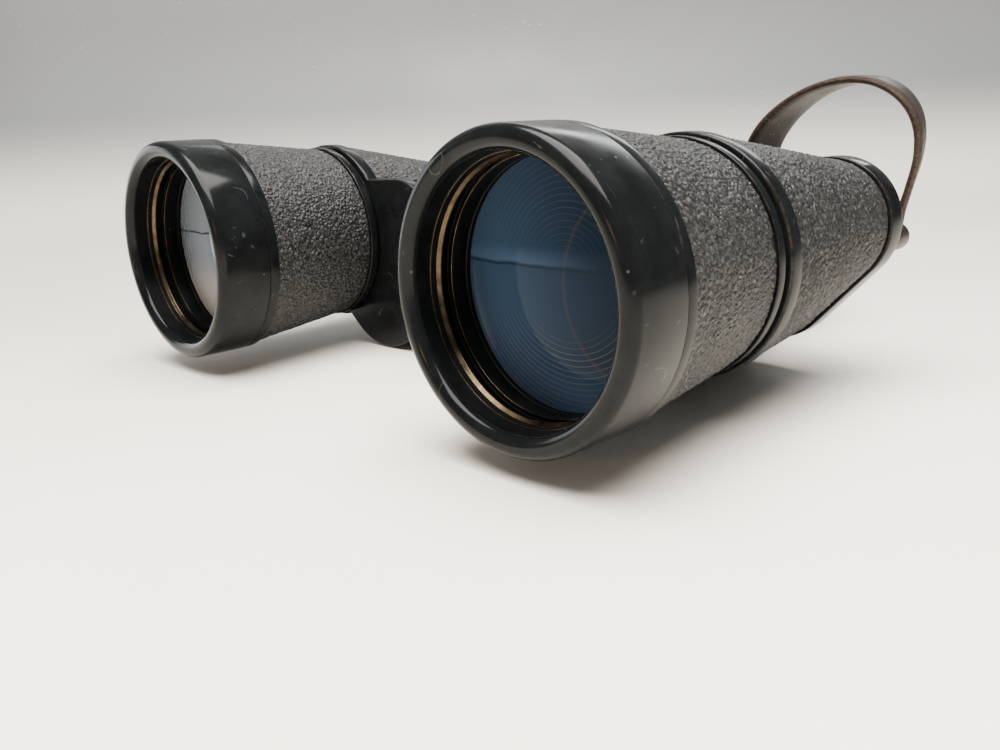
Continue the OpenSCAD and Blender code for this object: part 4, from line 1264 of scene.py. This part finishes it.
class BINOCULARS_OT_eyepieces(bpy.types.Operator):
    """Makes the guides, sliding barrels, dioptre ring, eyecups and eye lenses"""

    bl_idname = "binoculars.eyepieces"
    bl_label = "Eyepieces"

    def execute(self, context):
        rear = local_y("rear_cover_R", 1)
        guide_end = local_y("eyepiece_guide_R", 1)
        barrel_front, ocular_end = local_y("eyepiece_barrel_R", 0), local_y("eyepiece_barrel_R", 1)
        ocular = ocular_end - 18.0
        dioptre = [local_y("dioptre_ring", k) for k in (0, 1)]
        cup_front, cup_end = local_y("eyecup_R", 0), local_y("eyecup_R", 1)
        cup = ocular_end + 1.4
        glass = [local_y("eye_lens_R", k) for k in (0, 1)]
        for side, word, sign in SIDES:
            into = half_frame(sign)
            guide = turned([
                (12.06, rear - 2.9, 0.0), (13.0, rear - 2.9, 0.0), (13.0, rear + 0.02, 0.0), (15.9, rear + 0.02, 0.2),
                (15.9, rear + 1.5, 0.4), (14.0, rear + 1.5, 0.2), (14.0, guide_end, 0.5), (12.06, guide_end, 0.2),
            ], EYE_AT)
            piece(guide, f"eyepiece_guide_{word}", f"{word}_half", ["satin"],
                  [f"eyepiece_guide_{side}"], into)
            neck = 13.0 if side == "R" else 14.5
            barrel = turned([
                (10.7, barrel_front, 0.1), (12.0, barrel_front, 0.2), (12.0, ocular, 0.0), (14.5, ocular, 0.6),
                (14.5, ocular + 3.0, 0.15), (14.1, ocular + 3.2, 0.1), (14.1, ocular + 3.8, 0.1), (14.5, ocular + 4.0, 0.15),
                (14.5, dioptre[0] - 0.3, 0.3), (neck, dioptre[0] - 0.29, 0.0), (neck, ocular_end, 0.3), (10.7, ocular_end, 0.2),
            ], EYE_AT)
            piece(barrel, f"eyepiece_barrel_{word}", f"{word}_eyepiece", ["satin"],
                  [f"eyepiece_barrel_{side}"], into)
            body = "right_ocular" if side == "R" else "left_eyepiece"
            eyecup = turned([
                (8.35, cup_front, 0.1), (10.65, cup_front, 0.2), (10.65, cup, 0.0), (15.0, cup, 0.4),
                (15.1, cup + 4.6, 0.3), (15.6, cup + 5.2, 0.3), (16.0, cup + 10.0, 0.6), (16.0, cup_end, 1.3),
                (10.5, cup_end, 1.3), (10.5, glass[1] + 0.3, 0.1), (9.35, glass[1] + 0.3, 0.05),
                (9.35, glass[0] - 0.02, 0.0), (8.35, glass[0] - 0.02, 0.05),
            ], EYE_AT)
            piece(eyecup, f"eyecup_{word}", body, ["plastic"], [f"eyecup_{side}"], into)
            steps = 12
            dome = [(9.3 * k / steps, glass[1] - 1.5 * (k / steps) ** 2, 0.0) for k in range(steps, -1, -1)]
            eye = turned([(0.0, glass[0], 0.0), (9.3, glass[0], 0.1)] + dome, EYE_AT, steps=96)
            piece(eye, f"eye_lens_{word}", body, ["eye glass"], [f"eye_lens_{side}"], into)
        piece(ribbed_piece((EYE_AT, 0.0), 15.2, 13.06, dioptre, 30, 0.5, 0.8), "dioptre_ring_ribbed", "dioptre_ring",
              ["satin"], ["dioptre_ring"], half_frame(1))
        return {"FINISHED"}


PLAIN_FINISHES = {
    "black_enamel": "enamel",
    "black_metal": "satin",
    "leatherette": "leatherette",
    "brass": "brass",
    "coated_glass": "eye glass",
    "prism_glass": "prism glass",
    "bare_aluminium": "aluminium",
    "steel": "rivet",
    "black_plastic": "plastic",
    "strap_leather": "strap",
}


class BINOCULARS_OT_kept_parts(bpy.types.Operator):
    """Gives every CAD part its finish, the ones inside the housings too"""

    bl_idname = "binoculars.kept_parts"
    bl_label = "Kept parts"

    def execute(self, context):
        for row in frame["record"]["subparts"]:
            made = frame["nodes"][row["node"]]
            finish = finish_named(PLAIN_FINISHES[row["material_slot"]])
            if not made.material_slots:
                made.data.materials.append(finish)
            for place in made.material_slots:
                place.material = finish
        return {"FINISHED"}


# ---------------------------------------------------------------- stage


def soft_light(context, name, at, towards, size, power, colour=(1, 1, 1)):
    data = bpy.data.lights.new(name, "AREA")
    data.shape = "RECTANGLE"
    data.size, data.size_y = size
    data.energy = power
    data.color = colour
    made = bpy.data.objects.new(name, data)
    made.location = at
    made.rotation_euler = (Vector(towards) - Vector(at)).to_track_quat("-Z", "Y").to_euler()
    context.scene.collection.objects.link(made)
    return made


class BINOCULARS_OT_stage(bpy.types.Operator):
    """Sets the pale floor that curves up into a backdrop, and the soft lights"""

    bl_idname = "binoculars.stage"
    bl_label = "Stage"

    def execute(self, context):
        stage = context.scene.binocular_stage
        bm = bmesh.new()
        bend, run, height = 0.16, 0.62, 1.4
        line = [(-1.6, 0.0), (run, 0.0)]
        line += [
            (run + bend * math.sin(a), bend * (1 - math.cos(a)))
            for a in (math.pi / 2 * k / 24 for k in range(1, 25))
        ]
        line.append((run + bend, height))
        corners = [bm.verts.new((-2.2, y, z)) for y, z in line]
        for a, b in zip(corners, corners[1:]):
            bm.edges.new((a, b))
        made = bmesh.ops.extrude_edge_only(bm, edges=bm.edges[:])["geom"]
        bmesh.ops.translate(bm, verts=[g for g in made if isinstance(g, bmesh.types.BMVert)], vec=(4.4, 0, 0))
        bmesh.ops.transform(
            bm, verts=bm.verts[:],
            matrix=Matrix.Translation((stage.camera_at[0], stage.camera_at[1], -0.0002))
            @ Matrix.Rotation(-stage.heading, 4, "Z"),
        )
        bm.normal_update()
        bmesh.ops.recalc_face_normals(bm, faces=bm.faces[:])
        bm.faces.ensure_lookup_table()
        if bm.faces[0].normal.z < 0:
            bmesh.ops.reverse_faces(bm, faces=bm.faces[:])
        piece(bm, "floor", None, ["floor"], shell=False, worn=False)

        soft_light(context, "top_light", (0.10, -0.10, 0.75), (0.0, 0.0, 0.0), (0.7, 0.7), stage.key_power, (1.0, 0.97, 0.92))
        soft_light(context, "back_light", (-0.36, 0.40, 0.36), (0.0, 0.0, 0.04), (0.9, 0.16), 4.0, (0.95, 0.98, 1.0))
        soft_light(context, "left_light", (-0.58, -0.22, 0.06), (-0.06, -0.07, 0.035), (0.3, 0.34), 1.6, (0.94, 0.97, 1.0))
        soft_light(context, "warm_light", (0.10, -0.75, 0.20), (0.03, -0.06, 0.035), (0.10, 0.05), stage.warm_power,
                   (1.0, 0.52, 0.24))
        world = bpy.data.worlds.new("soft room")
        world.use_nodes = True
        back = world.node_tree.nodes["Background"]
        back.inputs[0].default_value = (0.80, 0.82, 0.84, 1.0)
        back.inputs[1].default_value = 0.34
        context.scene.world = world
        return {"FINISHED"}


# ---------------------------------------------------------------- panel and registration


OPERATORS = (
    BINOCULARS_OT_camera,
    BINOCULARS_OT_strap,
    BINOCULARS_OT_objectives,
    BINOCULARS_OT_tubes,
    BINOCULARS_OT_housings,
    BINOCULARS_OT_hinge,
    BINOCULARS_OT_focus,
    BINOCULARS_OT_eyepieces,
    BINOCULARS_OT_kept_parts,
    BINOCULARS_OT_stage,
)


class BINOCULARS_PT_panel(bpy.types.Panel):
    """Lists the settings and the steps"""

    bl_idname = "BINOCULARS_PT_panel"
    bl_label = "Binoculars"
    bl_space_type = "VIEW_3D"
    bl_region_type = "UI"
    bl_category = "Binoculars"

    def draw(self, context):
        for name in ("binocular_sizes", "binocular_colours", "binocular_stage"):
            settings = getattr(context.scene, name)
            box = self.layout.box()
            for key in settings.bl_rna.properties.keys():
                if key not in ("rna_type", "name"):
                    box.prop(settings, key)
        for operator in OPERATORS:
            self.layout.operator(operator.bl_idname)


SETTINGS = (
    ("binocular_sizes", BinocularSizes),
    ("binocular_colours", BinocularColours),
    ("binocular_stage", BinocularStage),
)


def register():
    for name, group in SETTINGS:
        bpy.utils.register_class(group)
        setattr(bpy.types.Scene, name, PointerProperty(type=group))
    for operator in OPERATORS:
        bpy.utils.register_class(operator)
    bpy.utils.register_class(BINOCULARS_PT_panel)


def unregister():
    bpy.utils.unregister_class(BINOCULARS_PT_panel)
    for operator in reversed(OPERATORS):
        bpy.utils.unregister_class(operator)
    for name, group in reversed(SETTINGS):
        delattr(bpy.types.Scene, name)
        bpy.utils.unregister_class(group)


def main():
    register()
    for operator in OPERATORS:
        group, name = operator.bl_idname.split(".")
        getattr(getattr(bpy.ops, group), name)()


if __name__ == "__main__":
    main()
